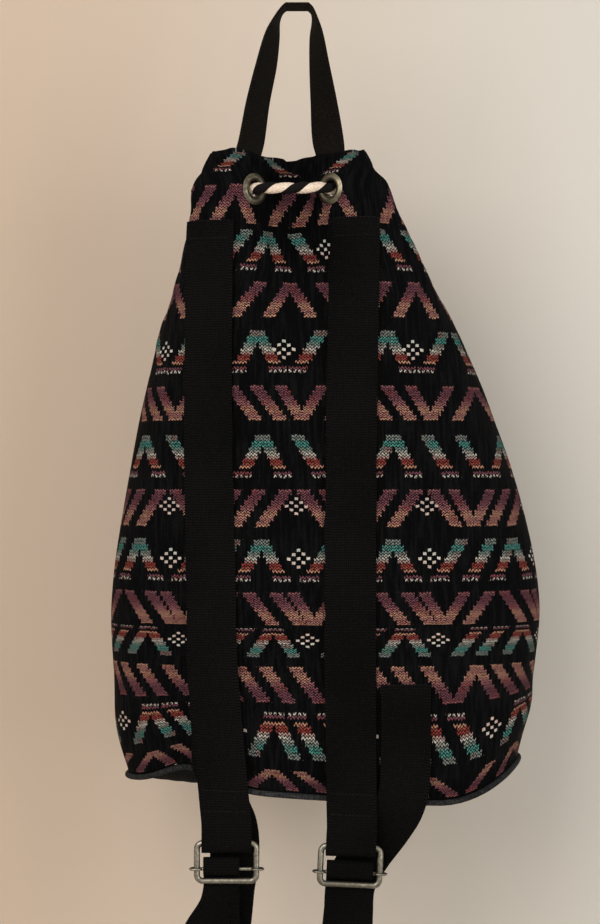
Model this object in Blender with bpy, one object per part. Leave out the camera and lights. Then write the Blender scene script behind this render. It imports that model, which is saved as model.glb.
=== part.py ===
"""A drawstring backpack as it hangs by its haul loop: cloth body, rope neck, webbing straps.

Metres, +Z up. The origin is the inner top of the haul loop, where a hook carries it.
The shoulder straps face -Y, and +X is to the right as seen from that side.
"""

import math

import bmesh
import bpy
from mathutils import Matrix, Vector

# Cloth body
LOOP_REACH = 0.1156  # inner top of the loop down to the mouth's edge
BODY_HEIGHT = 0.486
BASE_LEVEL = -LOOP_REACH - BODY_HEIGHT
BODY_WIDTH = 0.335
BODY_DEPTH = 0.140
NECK_WIDTH = 0.138
NECK_DEPTH = 0.100
BODY_LEAN = 0.030  # how far the hanging body swings to the right of its neck
NECK_SHIFT = -0.0074
BODY_SET_BACK = 0.008
CLOTH = 0.0024
CLEARANCE = 0.0003
COLUMNS = 46
EVEN_AT = 0.33  # share of the height where the columns are evenly spaced
HEM_DROP = 0.006  # how far the mouth's edge dips in the front fold
NECK_SQUARENESS = 3.0
BODY_SQUARENESS = 2.3

# Rows of the outline, from the mouth down: share of the height, of the widening, of the lean
# and of the deepening.
OUTLINE = (
    (0.00, 0.00, 0.00, 0.00),
    (0.05, 0.13, 0.07, 0.05),
    (0.15, 0.32, 0.31, 0.22),
    (0.30, 0.52, 0.59, 0.45),
    (0.44, 0.735, 0.79, 0.64),
    (0.60, 0.92, 0.95, 0.83),
    (0.72, 1.00, 0.97, 0.94),
    (0.84, 0.965, 0.94, 1.00),
    (0.93, 0.945, 0.93, 0.97),
    (1.00, 0.84, 0.92, 0.72),
)
CLOTH_ROWS = (
    0.0, 0.02, 0.042, 0.064, 0.086, 0.11, 0.14, 0.18, 0.23, 0.29, 0.36,
    0.44, 0.53, 0.62, 0.71, 0.79, 0.86, 0.93, 1.0,
)

# Folds of the neck
FRONT_FOLD_DEPTH = 0.038
FRONT_FOLD_WIDTH = 0.028
SIDE_FOLD_DEPTH = 0.030
SIDE_FOLD_WIDTH = 0.022
FOLD_CENTRE = -0.004
FOLD_DRIFT = 0.010  # the front fold runs down to the right
FOLD_END = 0.30  # share of the height where the folds have opened out
FOLD_AT_MOUTH = 0.72

# Base
BASE_TILT = 0.06
RIM_PINCH = 0.020
RIM_PINCH_AT = -0.085
RIM_PINCH_WIDTH = 0.030
RIM_FROM = 0.80
CORNER_LIFT = 0.030  # how far the rim rises at the bag's lower right corner
CORNER_FROM = 0.105
CORNER_RUN = 0.065
BASE_SAG = 0.008
PIPING_RADIUS = 0.0022

# Eyelets
EYELET_DROP = 0.030
EYELET_DIAMETER = 0.024
EYELET_BORE = 0.0124
EYELET_BARREL = 0.0144
EYELET_DOME = 0.0012
EYELET_PLATE = 0.0008
EYELET_LIP = 0.0014
EYELET_SIDES = 12
EYELET_SEAT = 0.0005
WASHER_DIAMETER = 0.0205
WASHER_THICKNESS = 0.0012
SEAT_BLEND = 0.012
SEAT_REACH = 0.005
SEAT_SKIN = 0.0002  # cloth that may stand proud of its flat seat
FRONT_EYELETS = (-0.0326, 0.0255)  # X of the pair at the front fold, and of the far pair
SIDE_EYELET = 0.016  # how far each side eyelet lies from the side fold's middle

# Rope
ROPE_DIAMETER = 0.0085
ROPE_POINTS = 64
KNOT_DIAMETER = 0.019
KNOT_LENGTH = 0.022
KNOT_STUB = 0.014
# Route of the rope's middle, with heights from the mouth's edge: from the right tail's end on the
# far side, through the eyelets in their order, to the left tail's end.
ROPE_ROUTE = (
    (0.0193, 0.0850, -0.2747),
    (0.0188, 0.0818, -0.2587),
    (0.0180, 0.0780, -0.2367),
    (0.0170, 0.0750, -0.2127),
    (0.0158, 0.0731, -0.1867),
    (0.0147, 0.0709, -0.1607),
    (0.0140, 0.0681, -0.1387),
    (0.0137, 0.0625, -0.1167),
    (0.0137, 0.0578, -0.0917),
    (0.0138, 0.0555, -0.0677),
    (0.0143, 0.0535, -0.0487),
    (0.0158, 0.0506, -0.0364),
    (0.0202, 0.0452, -0.0298),
    (0.0255, 0.0389, -0.0300),
    (0.0307, 0.0329, -0.0307),
    (0.0375, 0.0270, -0.0320),
    (0.0465, 0.0250, -0.0330),
    (0.0550, 0.0214, -0.0327),
    (0.0604, 0.0160, -0.0300),
    (0.0648, 0.0113, -0.0278),
    (0.0672, 0.0000, -0.0267),
    (0.0664, -0.0115, -0.0275),
    (0.0619, -0.0160, -0.0300),
    (0.0566, -0.0212, -0.0330),
    (0.0475, -0.0245, -0.0330),
    (0.0380, -0.0255, -0.0312),
    (0.0307, -0.0313, -0.0302),
    (0.0255, -0.0374, -0.0300),
    (0.0203, -0.0433, -0.0299),
    (0.0090, -0.0482, -0.0303),
    (-0.0035, -0.0488, -0.0309),
    (-0.0160, -0.0474, -0.0305),
    (-0.0274, -0.0425, -0.0300),
    (-0.0326, -0.0367, -0.0300),
    (-0.0380, -0.0308, -0.0301),
    (-0.0470, -0.0262, -0.0313),
    (-0.0565, -0.0255, -0.0321),
    (-0.0654, -0.0215, -0.0317),
    (-0.0710, -0.0160, -0.0300),
    (-0.0757, -0.0112, -0.0285),
    (-0.0782, 0.0000, -0.0277),
    (-0.0743, 0.0111, -0.0287),
    (-0.0695, 0.0160, -0.0300),
    (-0.0640, 0.0216, -0.0313),
    (-0.0555, 0.0258, -0.0319),
    (-0.0460, 0.0268, -0.0315),
    (-0.0379, 0.0323, -0.0305),
    (-0.0326, 0.0382, -0.0300),
    (-0.0276, 0.0440, -0.0297),
    (-0.0242, 0.0490, -0.0347),
    (-0.0230, 0.0525, -0.0467),
    (-0.0226, 0.0552, -0.0647),
    (-0.0226, 0.0580, -0.0867),
    (-0.0229, 0.0623, -0.1067),
    (-0.0233, 0.0662, -0.1277),
    (-0.0240, 0.0689, -0.1507),
    (-0.0249, 0.0709, -0.1767),
    (-0.0258, 0.0727, -0.2027),
    (-0.0267, 0.0745, -0.2287),
    (-0.0275, 0.0769, -0.2547),
    (-0.0281, 0.0810, -0.2777),
    (-0.0284, 0.0850, -0.2947),
)

# Webbing
STRAP_WIDTH = 0.0375
STRAP_THICKNESS = 0.0016
STRAP_LIFT = 0.0012
SQUEEZED_WIDTH = 0.0350  # where the right lower strap passes between the eyes of its loose bar
BUNCHED_WIDTH = 0.0270  # the left lower strap there, pulled to the outer side
BUNCHED_ASIDE = -0.0040
SEWN_FOLD = 0.026
FOLD_RADIUS = 0.0036  # a shoulder strap's turn round the slider's top bar
FOLD_DROP = 0.0067
FOLD_ENTRY = 0.014
STRAP_LEAVES = 0.84  # share of the height where the shoulder straps leave the cloth
ANCHOR_CLEAR = (0.70, 0.80)  # the left shoulder strap rises here to pass over the lower strap's end
TURN_RADIUS = 0.0034  # a lower strap's turn over the loose bar
TURN_RISE = 0.0048
TAIL_LENGTH = 0.068
LOOP_WIDTH = 0.025
LOOP_THICKNESS = 0.0018
LOOP_SEWN = 0.016
LOOP_FLAT = 0.016
LOOP_FLAT_STEP = 0.0006  # the straight piece on either side that keeps the flat top flat
LOOP_FEET = (-0.0368, 0.0245)

# Slider
WIRE_DIAMETER = 0.0046
FRAME_WIDTH = 0.0492
FRAME_HEIGHT = 0.0330
FRAME_CORNER = 0.0045
BAR_DIAMETER = 0.0028
BAR_REST = 0.0090  # centre of the loose bar above the centre of the bottom bar
EYE_WALL = 0.0017
EYE_SLACK = 0.0016
EYE_BAND = 0.6  # the eye's height as a share of the rod's diameter
FRAME_SETBACK = 0.0039  # strap to frame, at the sewn fold


def mix(a, b, share):
    return a + (b - a) * share


def smoothstep(low, high, value):
    share = min(max((value - low) / (high - low), 0.0), 1.0)
    return share * share * (3.0 - 2.0 * share)


def bell(distance, width):
    return math.exp(-((distance / width) ** 2))


def power(value, exponent):
    return math.copysign(abs(value) ** exponent, value)


def read_rows(rows, at):
    """The rows' values at one place, on a smooth curve through them."""
    last = len(rows) - 1
    k = max(i for i in range(last) if rows[i][0] <= at or i == 0)
    a, b = rows[k], rows[k + 1]
    before, after = rows[max(k - 1, 0)], rows[min(k + 2, last)]
    span = b[0] - a[0]
    s = min(max((at - a[0]) / span, 0.0), 1.0)
    found = []
    for i in range(1, len(a)):
        start = (b[i] - before[i]) / (b[0] - before[0]) * span
        end = (after[i] - a[i]) / (after[0] - a[0]) * span
        found.append(
            (2 * s**3 - 3 * s**2 + 1) * a[i]
            + (s**3 - 2 * s**2 + s) * start
            + (3 * s**2 - 2 * s**3) * b[i]
            + (s**3 - s**2) * end
        )
    return found


def fold_share(down):
    """How much of its full depth a neck fold has, this share of the height down."""
    opening = mix(FOLD_AT_MOUTH, 1.0, smoothstep(0.0, EYELET_DROP / BODY_HEIGHT, down))
    return opening * (1.0 - smoothstep(0.10, FOLD_END, down))


def draped_point(down, angle):
    """A point of the cloth's outer face. The angle is 0 at the strap side and grows to the right."""
    widening, leaning, deepening = read_rows(OUTLINE, down)
    half_width = mix(NECK_WIDTH, BODY_WIDTH, widening) / 2
    half_depth = mix(NECK_DEPTH, BODY_DEPTH, deepening) / 2
    squareness = mix(NECK_SQUARENESS, BODY_SQUARENESS, smoothstep(0.05, 0.35, down))
    x = half_width * power(math.sin(angle), 2 / squareness)
    y = -half_depth * power(math.cos(angle), 2 / squareness)
    middle = NECK_SHIFT + BODY_LEAN * leaning
    share = fold_share(down)
    fold_at = FOLD_CENTRE + FOLD_DRIFT * smoothstep(0.08, 0.22, down)
    front = share * FRONT_FOLD_DEPTH * bell(x + middle - fold_at, FRONT_FOLD_WIDTH)
    side = share * SIDE_FOLD_DEPTH * bell(y, SIDE_FOLD_WIDTH)
    facing = 1.0 if math.cos(angle) > 0 else -1.0
    dip = HEM_DROP * bell(x + middle - fold_at, FRONT_FOLD_WIDTH) * (1.0 - smoothstep(0.0, 0.06, down))
    x_draped = middle + x - math.copysign(side, math.sin(angle))
    y_draped = BODY_SET_BACK * leaning + y + facing * front
    drop = BODY_HEIGHT * down + dip - rim_lift(x_draped, angle) * smoothstep(RIM_FROM, 1.0, down)
    return Vector((x_draped, y_draped, -LOOP_REACH - drop))


def rim_lift(x, angle):
    """How far the base's rim stands above its level line: a tilt, one pinch and one raised corner."""
    pinch = RIM_PINCH * bell(x - RIM_PINCH_AT, RIM_PINCH_WIDTH) * max(math.cos(angle), 0.0)
    corner = CORNER_LIFT * (max(x - CORNER_FROM, 0.0) / CORNER_RUN) ** 2
    return pinch + corner - BASE_TILT * x


def normal_at(point, down, angle):
    """The outward normal of a surface point(down, angle)."""
    step = 0.004
    above, below = max(down - step, 0.0), min(down + step, 1.0)
    along = point(below, angle) - point(above, angle)
    across = point(down, angle + step) - point(down, angle - step)
    return along.cross(across).normalized()


def angle_at_x(point, down, x, far=False):
    """The angle on the strap side, or on the far side, where the cloth passes this X."""
    low, high = -math.pi / 2 + 0.02, math.pi / 2 - 0.02
    for _ in range(40):
        middle = (low + high) / 2
        angle = math.pi - middle if far else middle
        if point(down, angle).x < x:
            low = middle
        else:
            high = middle
    return math.pi - low if far else low


def side_angle(down, right, y):
    """The angle on the right or left side where the cloth passes this Y."""
    low, high = 0.02, math.pi - 0.02
    for _ in range(40):
        middle = (low + high) / 2
        if draped_point(down, middle).y < y:
            low = middle
        else:
            high = middle
    return low if right else -low


def eyelet_places():
    """Centre and outward normal of each eyelet, in the order in which the rope passes them."""
    down = EYELET_DROP / BODY_HEIGHT
    left, right = FRONT_EYELETS
    angles = (
        angle_at_x(draped_point, down, right, far=True),
        side_angle(down, True, SIDE_EYELET),
        side_angle(down, True, -SIDE_EYELET),
        angle_at_x(draped_point, down, right),
        angle_at_x(draped_point, down, left),
        side_angle(down, False, -SIDE_EYELET),
        side_angle(down, False, SIDE_EYELET),
        angle_at_x(draped_point, down, left, far=True),
    )
    return [(draped_point(down, a), normal_at(draped_point, down, a)) for a in angles]


EYELETS = eyelet_places()


def cloth_point(down, angle):
    """A point of the cloth's outer face, pressed flat where an eyelet clamps it."""
    point = draped_point(down, angle)
    for centre, normal in EYELETS:
        height = (point - centre).dot(normal)
        reach = (point - centre - normal * height).length
        seat = EYELET_DIAMETER / 2 + CLEARANCE
        if abs(height) < seat:
            point = point - normal * height * (1.0 - smoothstep(seat, seat + SEAT_BLEND, reach))
    return point


def lifted(down, angle, lift):
    """A point this far outside the cloth's outer face, or inside where lift is negative."""
    return cloth_point(down, angle) + normal_at(cloth_point, down, angle) * lift


def even_angles():
    """Angles that divide the cloth's girth about evenly at a third of its height."""
    fine = 720
    angles = [2 * math.pi * i / fine for i in range(fine + 1)]
    points = [draped_point(EVEN_AT, a) for a in angles]
    run = [0.0]
    for a, b in zip(points, points[1:]):
        run.append(run[-1] + (b - a).length)
    found, k = [], 0
    for i in range(COLUMNS):
        target = run[-1] * i / COLUMNS
        while run[k + 1] < target:
            k += 1
        found.append(mix(angles[k], angles[k + 1], (target - run[k]) / (run[k + 1] - run[k])))
    return found


def on_axis(centre, axis):
    """The matrix that stands a piece turned about +Z on this axis."""
    return Matrix.Translation(centre) @ axis.to_track_quat("Z", "Y").to_matrix().to_4x4()


def finish(name, colour, roughness, metallic=0.0):
    material = bpy.data.materials.new(name)
    material.use_nodes = True
    shader = material.node_tree.nodes["Principled BSDF"]
    shader.inputs["Base Color"].default_value = (*colour, 1.0)
    shader.inputs["Roughness"].default_value = roughness
    shader.inputs["Metallic"].default_value = metallic
    return material


def add_mesh(name, points, faces, material, smooth=True):
    mesh = bpy.data.meshes.new(name)
    mesh.from_pydata([tuple(p) for p in points], [], faces)
    mesh.validate()
    obj = bpy.data.objects.new(name, mesh)
    bpy.context.scene.collection.objects.link(obj)
    mesh.materials.append(material)
    if smooth:
        mesh.shade_smooth()
        mesh.set_sharp_from_angle(angle=math.radians(40))
    return obj


def ring_faces(first, second, count):
    """Quads between two closed rings of points, given by their first indices."""
    return [
        (first + i, first + (i + 1) % count, second + (i + 1) % count, second + i)
        for i in range(count)
    ]


def build_shell(angles):
    """The cloth tube, open at the mouth and at the base, with its eyelet holes cut."""
    count = len(angles)
    grid = [[cloth_point(down, a) for a in angles] for down in CLOTH_ROWS]
    faces = []
    last = len(CLOTH_ROWS) - 1
    outer = [point for row in grid for point in row]
    inner = []
    for row in range(last + 1):
        above, below = grid[max(row - 1, 0)], grid[min(row + 1, last)]
        for i in range(count):
            across = grid[row][(i + 1) % count] - grid[row][i - 1]
            outward = (below[i] - above[i]).cross(across).normalized()
            inner.append(grid[row][i] - outward * CLOTH)
    for row in range(last):
        faces += [tuple(reversed(f)) for f in ring_faces(row * count, (row + 1) * count, count)]
        start = len(outer) + row * count
        faces += ring_faces(start, start + count, count)
    faces += ring_faces(0, len(outer), count)
    hem = ring_faces(last * count, len(outer) + last * count, count)
    faces += [tuple(reversed(f)) for f in hem]
    cloth = finish("woven_black", (0.012, 0.012, 0.014), 0.9)
    shell = add_mesh("outer_shell", outer + inner, faces, cloth)
    dye_bands(shell)
    split_quads(shell.data)
    for centre, normal in EYELETS:
        cutter = add_seat_cutter("eyelet_seat", centre, normal)
        hole = shell.modifiers.new("eyelet_hole", "BOOLEAN")
        hole.object = cutter
        hole.solver = "EXACT"
    return shell


def split_quads(mesh):
    """Twisted quads made flat triangles, so that a Boolean keeps their shape."""
    work = bmesh.new()
    work.from_mesh(mesh)
    bmesh.ops.triangulate(work, faces=work.faces[:])
    work.to_mesh(mesh)
    work.free()


def dye_bands(shell):
    """Coarse fields of the woven pattern: teal and rose slanting marks between rows of ground."""
    shell.data.materials.append(finish("weft_teal", (0.10, 0.33, 0.28), 0.85))
    shell.data.materials.append(finish("weft_rose", (0.34, 0.14, 0.14), 0.85))
    for polygon in shell.data.polygons:
        row, place = divmod(polygon.index, 2 * COLUMNS)
        outer_face = place < COLUMNS
        slant = (place + (row if row % 4 < 2 else -row)) % 4 < 2
        if outer_face and slant and row < len(CLOTH_ROWS) - 1:
            polygon.material_index = 1 + row % 2


def add_seat_cutter(name, centre, normal):
    """A hidden spool: its waist cuts the eyelet's hole, its ends keep the cloth flat under the metal."""
    hole = EYELET_BARREL / 2 + CLEARANCE
    above, below = EYELET_DIAMETER / 2 + 2 * CLEARANCE, WASHER_DIAMETER / 2 + 3 * CLEARANCE
    profile = (
        (above, SEAT_REACH),
        (above, SEAT_SKIN),
        (hole, SEAT_SKIN),
        (hole, -CLOTH - SEAT_SKIN),
        (below, -CLOTH - SEAT_SKIN),
        (below, -CLOTH - SEAT_REACH),
    )
    points, faces = [], []
    for radius, height in profile:
        for i in range(EYELET_SIDES):
            turn = 2 * math.pi * i / EYELET_SIDES
            points.append(Vector((radius * math.cos(turn), radius * math.sin(turn), height)))
    for k in range(len(profile) - 1):
        wall = ring_faces(k * EYELET_SIDES, (k + 1) * EYELET_SIDES, EYELET_SIDES)
        faces += [tuple(reversed(f)) for f in wall]
    faces.append(tuple(range(EYELET_SIDES)))
    last = (len(profile) - 1) * EYELET_SIDES
    faces.append(tuple(reversed(range(last, last + EYELET_SIDES))))
    cutter = add_mesh(name, points, faces, finish("cutter", (0.5, 0.5, 0.5), 0.5), smooth=False)
    cutter.matrix_world = on_axis(centre, normal)
    cutter.hide_render = True
    cutter.display_type = "WIRE"
    return cutter


def turned(name, profile, centre, normal, material):
    """A ring turned from (radius, height) points, listed anticlockwise, on the given axis."""
    points, faces = [], []
    for i in range(EYELET_SIDES):
        turn = 2 * math.pi * i / EYELET_SIDES
        points += [Vector((r * math.cos(turn), r * math.sin(turn), h)) for r, h in profile]
    count = len(profile)
    for i in range(EYELET_SIDES):
        a, b = i * count, (i + 1) % EYELET_SIDES * count
        faces += [(a + k, b + k, b + (k + 1) % count, a + (k + 1) % count) for k in range(count)]
    ring = add_mesh(name, points, faces, material)
    ring.matrix_world = on_axis(centre, normal)
    return ring


def build_eyelets():
    """Eyelets and the washers that they are set against, inside the cloth."""
    metal = finish("dark_brass", (0.16, 0.14, 0.11), 0.38, 1.0)
    rim, bore, barrel = EYELET_DIAMETER / 2, EYELET_BORE / 2, EYELET_BARREL / 2
    under = EYELET_SEAT
    washer_top = -CLOTH - EYELET_SEAT
    lip_top = washer_top - WASHER_THICKNESS - CLEARANCE
    for i, (centre, normal) in enumerate(EYELETS, start=1):
        profile = (
            (barrel, under),
            (rim, under),
            (rim, under + EYELET_PLATE),
            (mix(barrel, rim, 0.5), under + EYELET_PLATE + EYELET_DOME),
            (bore, under + EYELET_PLATE),
            (bore, lip_top - EYELET_PLATE),
            (barrel + EYELET_LIP, lip_top - EYELET_PLATE),
            (barrel + EYELET_LIP, lip_top),
            (barrel, lip_top),
        )
        turned(f"eyelet_{i}", profile, centre, normal, metal)
        hole, edge = barrel + CLEARANCE, WASHER_DIAMETER / 2
        flat = (
            (hole, washer_top - WASHER_THICKNESS),
            (edge, washer_top - WASHER_THICKNESS),
            (edge, washer_top),
            (hole, washer_top),
        )
        turned(f"eyelet_washer_{i}", flat, centre, normal, metal)


def build_base(angles):
    """The base panel, which sags a little, and the piping round its rim."""
    cloth = finish("woven_black_base", (0.012, 0.012, 0.014), 0.9)
    rim = [cloth_point(1.0, a) for a in angles]
    outward = rim_normals(rim)
    middle = sum(rim, Vector()) / len(rim)
    top = []
    for share in (1.0, 0.8, 0.45):
        for point, out in zip(rim, outward):
            place = mix(middle, point - out * PIPING_RADIUS, share)
            place.z = mix(middle.z, point.z, share) - CLEARANCE - BASE_SAG * (1.0 - share**2)
            top.append(place)
    top.append(middle - Vector((0, 0, CLEARANCE + BASE_SAG)))
    bottom = [p - Vector((0, 0, CLOTH)) for p in top]
    count, size = len(rim), len(top)
    rings = ring_faces(count, 0, count) + ring_faces(2 * count, count, count)
    faces = [tuple(reversed(f)) for f in rings]
    faces += [(2 * count + i, 2 * count + (i + 1) % count, size - 1) for i in range(count)]
    under = [tuple(size + k for k in reversed(f)) for f in faces]
    wall = [tuple(reversed(f)) for f in ring_faces(0, size, count)]
    add_mesh("base_panel", top + bottom, faces + under + wall, cloth)
    line = []
    for i, (point, out) in enumerate(zip(rim, outward)):
        along = (rim[(i + 1) % count] - rim[i - 1]).normalized()
        below = along.cross(out).normalized()
        drop = math.copysign(2 * CLEARANCE + PIPING_RADIUS, below.z)
        line.append(point + out * 2 * CLEARANCE - below * drop)
    trim = finish("piping_black", (0.02, 0.02, 0.022), 0.6)
    add_wire("base_piping", line, PIPING_RADIUS, trim, True, 1)


def rim_normals(rim):
    """Level outward directions along a closed rim."""
    found = []
    for i, point in enumerate(rim):
        along = rim[(i + 1) % len(rim)] - rim[i - 1]
        found.append(Vector((along.y, -along.x, 0.0)).normalized())
    return found


def add_wire(name, points, radius, material, closed, resolution=2):
    """A round wire, cord or piping along these points."""
    curve = bpy.data.curves.new(name, "CURVE")
    curve.dimensions = "3D"
    curve.bevel_depth = radius
    curve.bevel_resolution = resolution
    curve.use_fill_caps = not closed
    spline = curve.splines.new("POLY")
    spline.points.add(len(points) - 1)
    for place, point in zip(spline.points, points):
        place.co = (*point, 1.0)
    spline.use_cyclic_u = closed
    obj = bpy.data.objects.new(name, curve)
    bpy.context.scene.collection.objects.link(obj)
    curve.materials.append(material)
    return obj


def add_ribbon(name, rows, thickness, material):
    """Webbing of one thickness, from rows of points across its middle surface."""
    count, width = len(rows), len(rows[0])

    def normal(i, j):
        along = rows[min(i + 1, count - 1)][j] - rows[max(i - 1, 0)][j]
        across = rows[i][min(j + 1, width - 1)] - rows[i][max(j - 1, 0)]
        return across.cross(along).normalized()

    places = [(i, j) for i in range(count) for j in range(width)]
    front = [rows[i][j] + normal(i, j) * thickness / 2 for i, j in places]
    back = [rows[i][j] - normal(i, j) * thickness / 2 for i, j in places]
    size = count * width
    faces = []
    for i in range(count - 1):
        for j in range(width - 1):
            quad = (i * width + j, i * width + j + 1, (i + 1) * width + j + 1, (i + 1) * width + j)
            faces.append(quad)
            faces.append(tuple(size + k for k in reversed(quad)))
    border = [j for j in range(width)]
    border += [i * width + width - 1 for i in range(1, count)]
    border += [(count - 1) * width + j for j in range(width - 2, -1, -1)]
    border += [i * width for i in range(count - 2, 0, -1)]
    for a, b in zip(border, border[1:] + border[:1]):
        faces.append((b, a, size + a, size + b))
    return add_mesh(name, front + back, faces, material)


def across_cloth(down, x, width, lift, parts=4):
    """A row of points across a strap that lies on the strap side of the cloth."""
    middle = angle_at_x(cloth_point, down, x)
    row = []
    for i in range(parts + 1):
        target = width * (i / parts - 0.5)
        angle, run, step = middle, 0.0, math.copysign(0.004, target)
        here = cloth_point(down, angle)
        while run < abs(target):
            there = cloth_point(down, angle + step)
            run += (there - here).length
            angle += step
            here = there
        row.append(lifted(down, angle, lift))
    return row


def straight_row(centre, across, width, parts=4):
    return [centre + across * width * (i / parts - 0.5) for i in range(parts + 1)]


def build_haul_loop():
    """Narrow webbing, sewn inside the mouth at both ends and turned edge-on over the hook."""
    sewn_lift = -(CLOTH + STRAP_LIFT + LOOP_THICKNESS / 2)
    top = LOOP_THICKNESS / 2
    flat = LOOP_FLAT / 2
    shoulder = flat + LOOP_FLAT_STEP
    left_foot, right_foot = LOOP_FEET
    rows = []
    for down in (LOOP_SEWN / BODY_HEIGHT, LOOP_SEWN / BODY_HEIGHT / 2):
        rows.append(across_cloth(down, left_foot, LOOP_WIDTH, sewn_lift))
    # Each free row: X, Y, drop as a share of the loop's reach, and the webbing's turn about +Z.
    free = (
        (-0.0350, -0.0270, 0.938, 42),
        (-0.0300, -0.0215, 0.666, 49),
        (-0.0235, -0.0120, 0.395, 55),
        (-0.0190, -0.0050, 0.188, 68),
        (-0.0155, -0.0010, 0.079, 84),
        (-0.0120, 0.0, 0.020, 90),
        (-shoulder, 0.0, -top / LOOP_REACH, 90),
        (-flat, 0.0, -top / LOOP_REACH, 90),
        (flat, 0.0, -top / LOOP_REACH, 90),
        (shoulder, 0.0, -top / LOOP_REACH, 90),
        (0.0118, 0.0, 0.020, 90),
        (0.0135, -0.0010, 0.079, 96),
        (0.0148, -0.0050, 0.188, 110),
        (0.0170, -0.0120, 0.395, 123),
        (0.0205, -0.0215, 0.666, 140),
        (0.0238, -0.0290, 0.938, 160),
    )
    for x, y, drop, turn in free:
        angle = math.radians(turn)
        across = Vector((math.cos(angle), math.sin(angle), 0.0))
        rows.append(straight_row(Vector((x, y, -drop * LOOP_REACH)), across, LOOP_WIDTH))
    for down in (LOOP_SEWN / BODY_HEIGHT / 2, LOOP_SEWN / BODY_HEIGHT):
        rows.append(list(reversed(across_cloth(down, right_foot, LOOP_WIDTH, sewn_lift))))
    webbing = finish("loop_webbing", (0.010, 0.010, 0.011), 0.8)
    add_ribbon("haul_loop", rows, LOOP_THICKNESS, webbing)


class Slider:
    """A wire slider: its place, its roll about Y, and how its lower strap is squeezed in it."""

    def __init__(self, side, x, z, roll, squeezed, aside):
        self.side = side
        self.place = Vector((x, 0.0, z))
        self.roll = Matrix.Rotation(math.radians(roll), 4, "Y")
        self.squeezed = squeezed
        self.aside = aside

    def seat(self, y):
        self.place.y = y

    def at(self, x, y, z):
        """World point of a local one: X across, Y back, Z up from the bottom bar's centre."""
        return self.place + self.roll @ Vector((x, y, z))

    def row(self, y, z, width, x=0.0):
        return straight_row(self.at(x, y, z), self.roll @ Vector((1, 0, 0)), width)


def build_slider(slider):
    """The wire frame and the loose bar, whose looped ends run on the frame's side rails."""
    metal = finish(f"{slider.side}_gunmetal", (0.17, 0.16, 0.145), 0.35, 1.0)
    half = (FRAME_WIDTH - WIRE_DIAMETER) / 2
    top = FRAME_HEIGHT - WIRE_DIAMETER
    corners = (
        (half, 0.0, -90),
        (half, top, 0),
        (-half, top, 90),
        (-half, 0.0, 180),
    )
    line = []
    for x, z, start in corners:
        bend_x = x - math.copysign(FRAME_CORNER, x)
        bend_z = z + (FRAME_CORNER if z == 0.0 else -FRAME_CORNER)
        for k in range(4):
            angle = math.radians(start + 30 * k)
            px = bend_x + FRAME_CORNER * math.cos(angle)
            pz = bend_z + FRAME_CORNER * math.sin(angle)
            line.append(slider.at(px, 0.0, pz))
    add_wire(f"{slider.side}_slider_frame", line, WIRE_DIAMETER / 2, metal, True)

    bar = build_bar(f"{slider.side}_slider_bar", half, metal)
    bar.matrix_world = Matrix.Translation(slider.at(0.0, 0.0, BAR_REST)) @ slider.roll


def build_bar(name, rail, metal):
    """A rod with an eye at each end, long enough outwards to leave the rail some slack."""
    hole = WIRE_DIAMETER / 2 + CLEARANCE
    outside = hole + EYE_WALL
    length = 2 * (rail - hole - EYE_WALL / 2)
    bpy.ops.mesh.primitive_cylinder_add(vertices=12, radius=BAR_DIAMETER / 2, depth=length)
    rod = bpy.context.object
    rod.name = name
    rod.data.transform(Matrix.Rotation(math.pi / 2, 4, "Y"))
    rod.data.materials.append(metal)
    rod.data.shade_smooth()
    rod.data.set_sharp_from_angle(angle=math.radians(40))
    for side in (1, -1):
        eye = build_eye(f"{name}_eye", side, rail, hole, outside)
        eye.parent = rod
        join = rod.modifiers.new("eye", "BOOLEAN")
        join.operation = "UNION"
        join.solver = "EXACT"
        join.object = eye
    return rod


def build_eye(name, side, rail, hole, outside):
    """One hidden eye: a flat band round the rail, drawn out by the slack."""
    steps = 8
    band = BAR_DIAMETER * EYE_BAND / 2
    rings = []
    for radius, height in ((outside, band), (outside, -band), (hole, -band), (hole, band)):
        ring = []
        for shift, start in ((EYE_SLACK, -90), (0.0, 90)):
            for k in range(steps // 2 + 1):
                angle = math.radians(start + 180 * k / (steps // 2))
                x = rail + shift + radius * math.cos(angle)
                ring.append(Vector((side * x, radius * math.sin(angle), height)))
        rings.append(ring)
    count = len(rings[0])
    points = [p for ring in rings for p in ring]
    faces = []
    for k in range(4):
        faces += ring_faces(k * count, (k + 1) % 4 * count, count)
    if side > 0:
        faces = [tuple(reversed(f)) for f in faces]
    eye = add_mesh(name, points, faces, finish("eye_metal", (0.17, 0.16, 0.145), 0.35, 1.0))
    eye.hide_render = True
    eye.display_type = "WIRE"
    return eye


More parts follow.
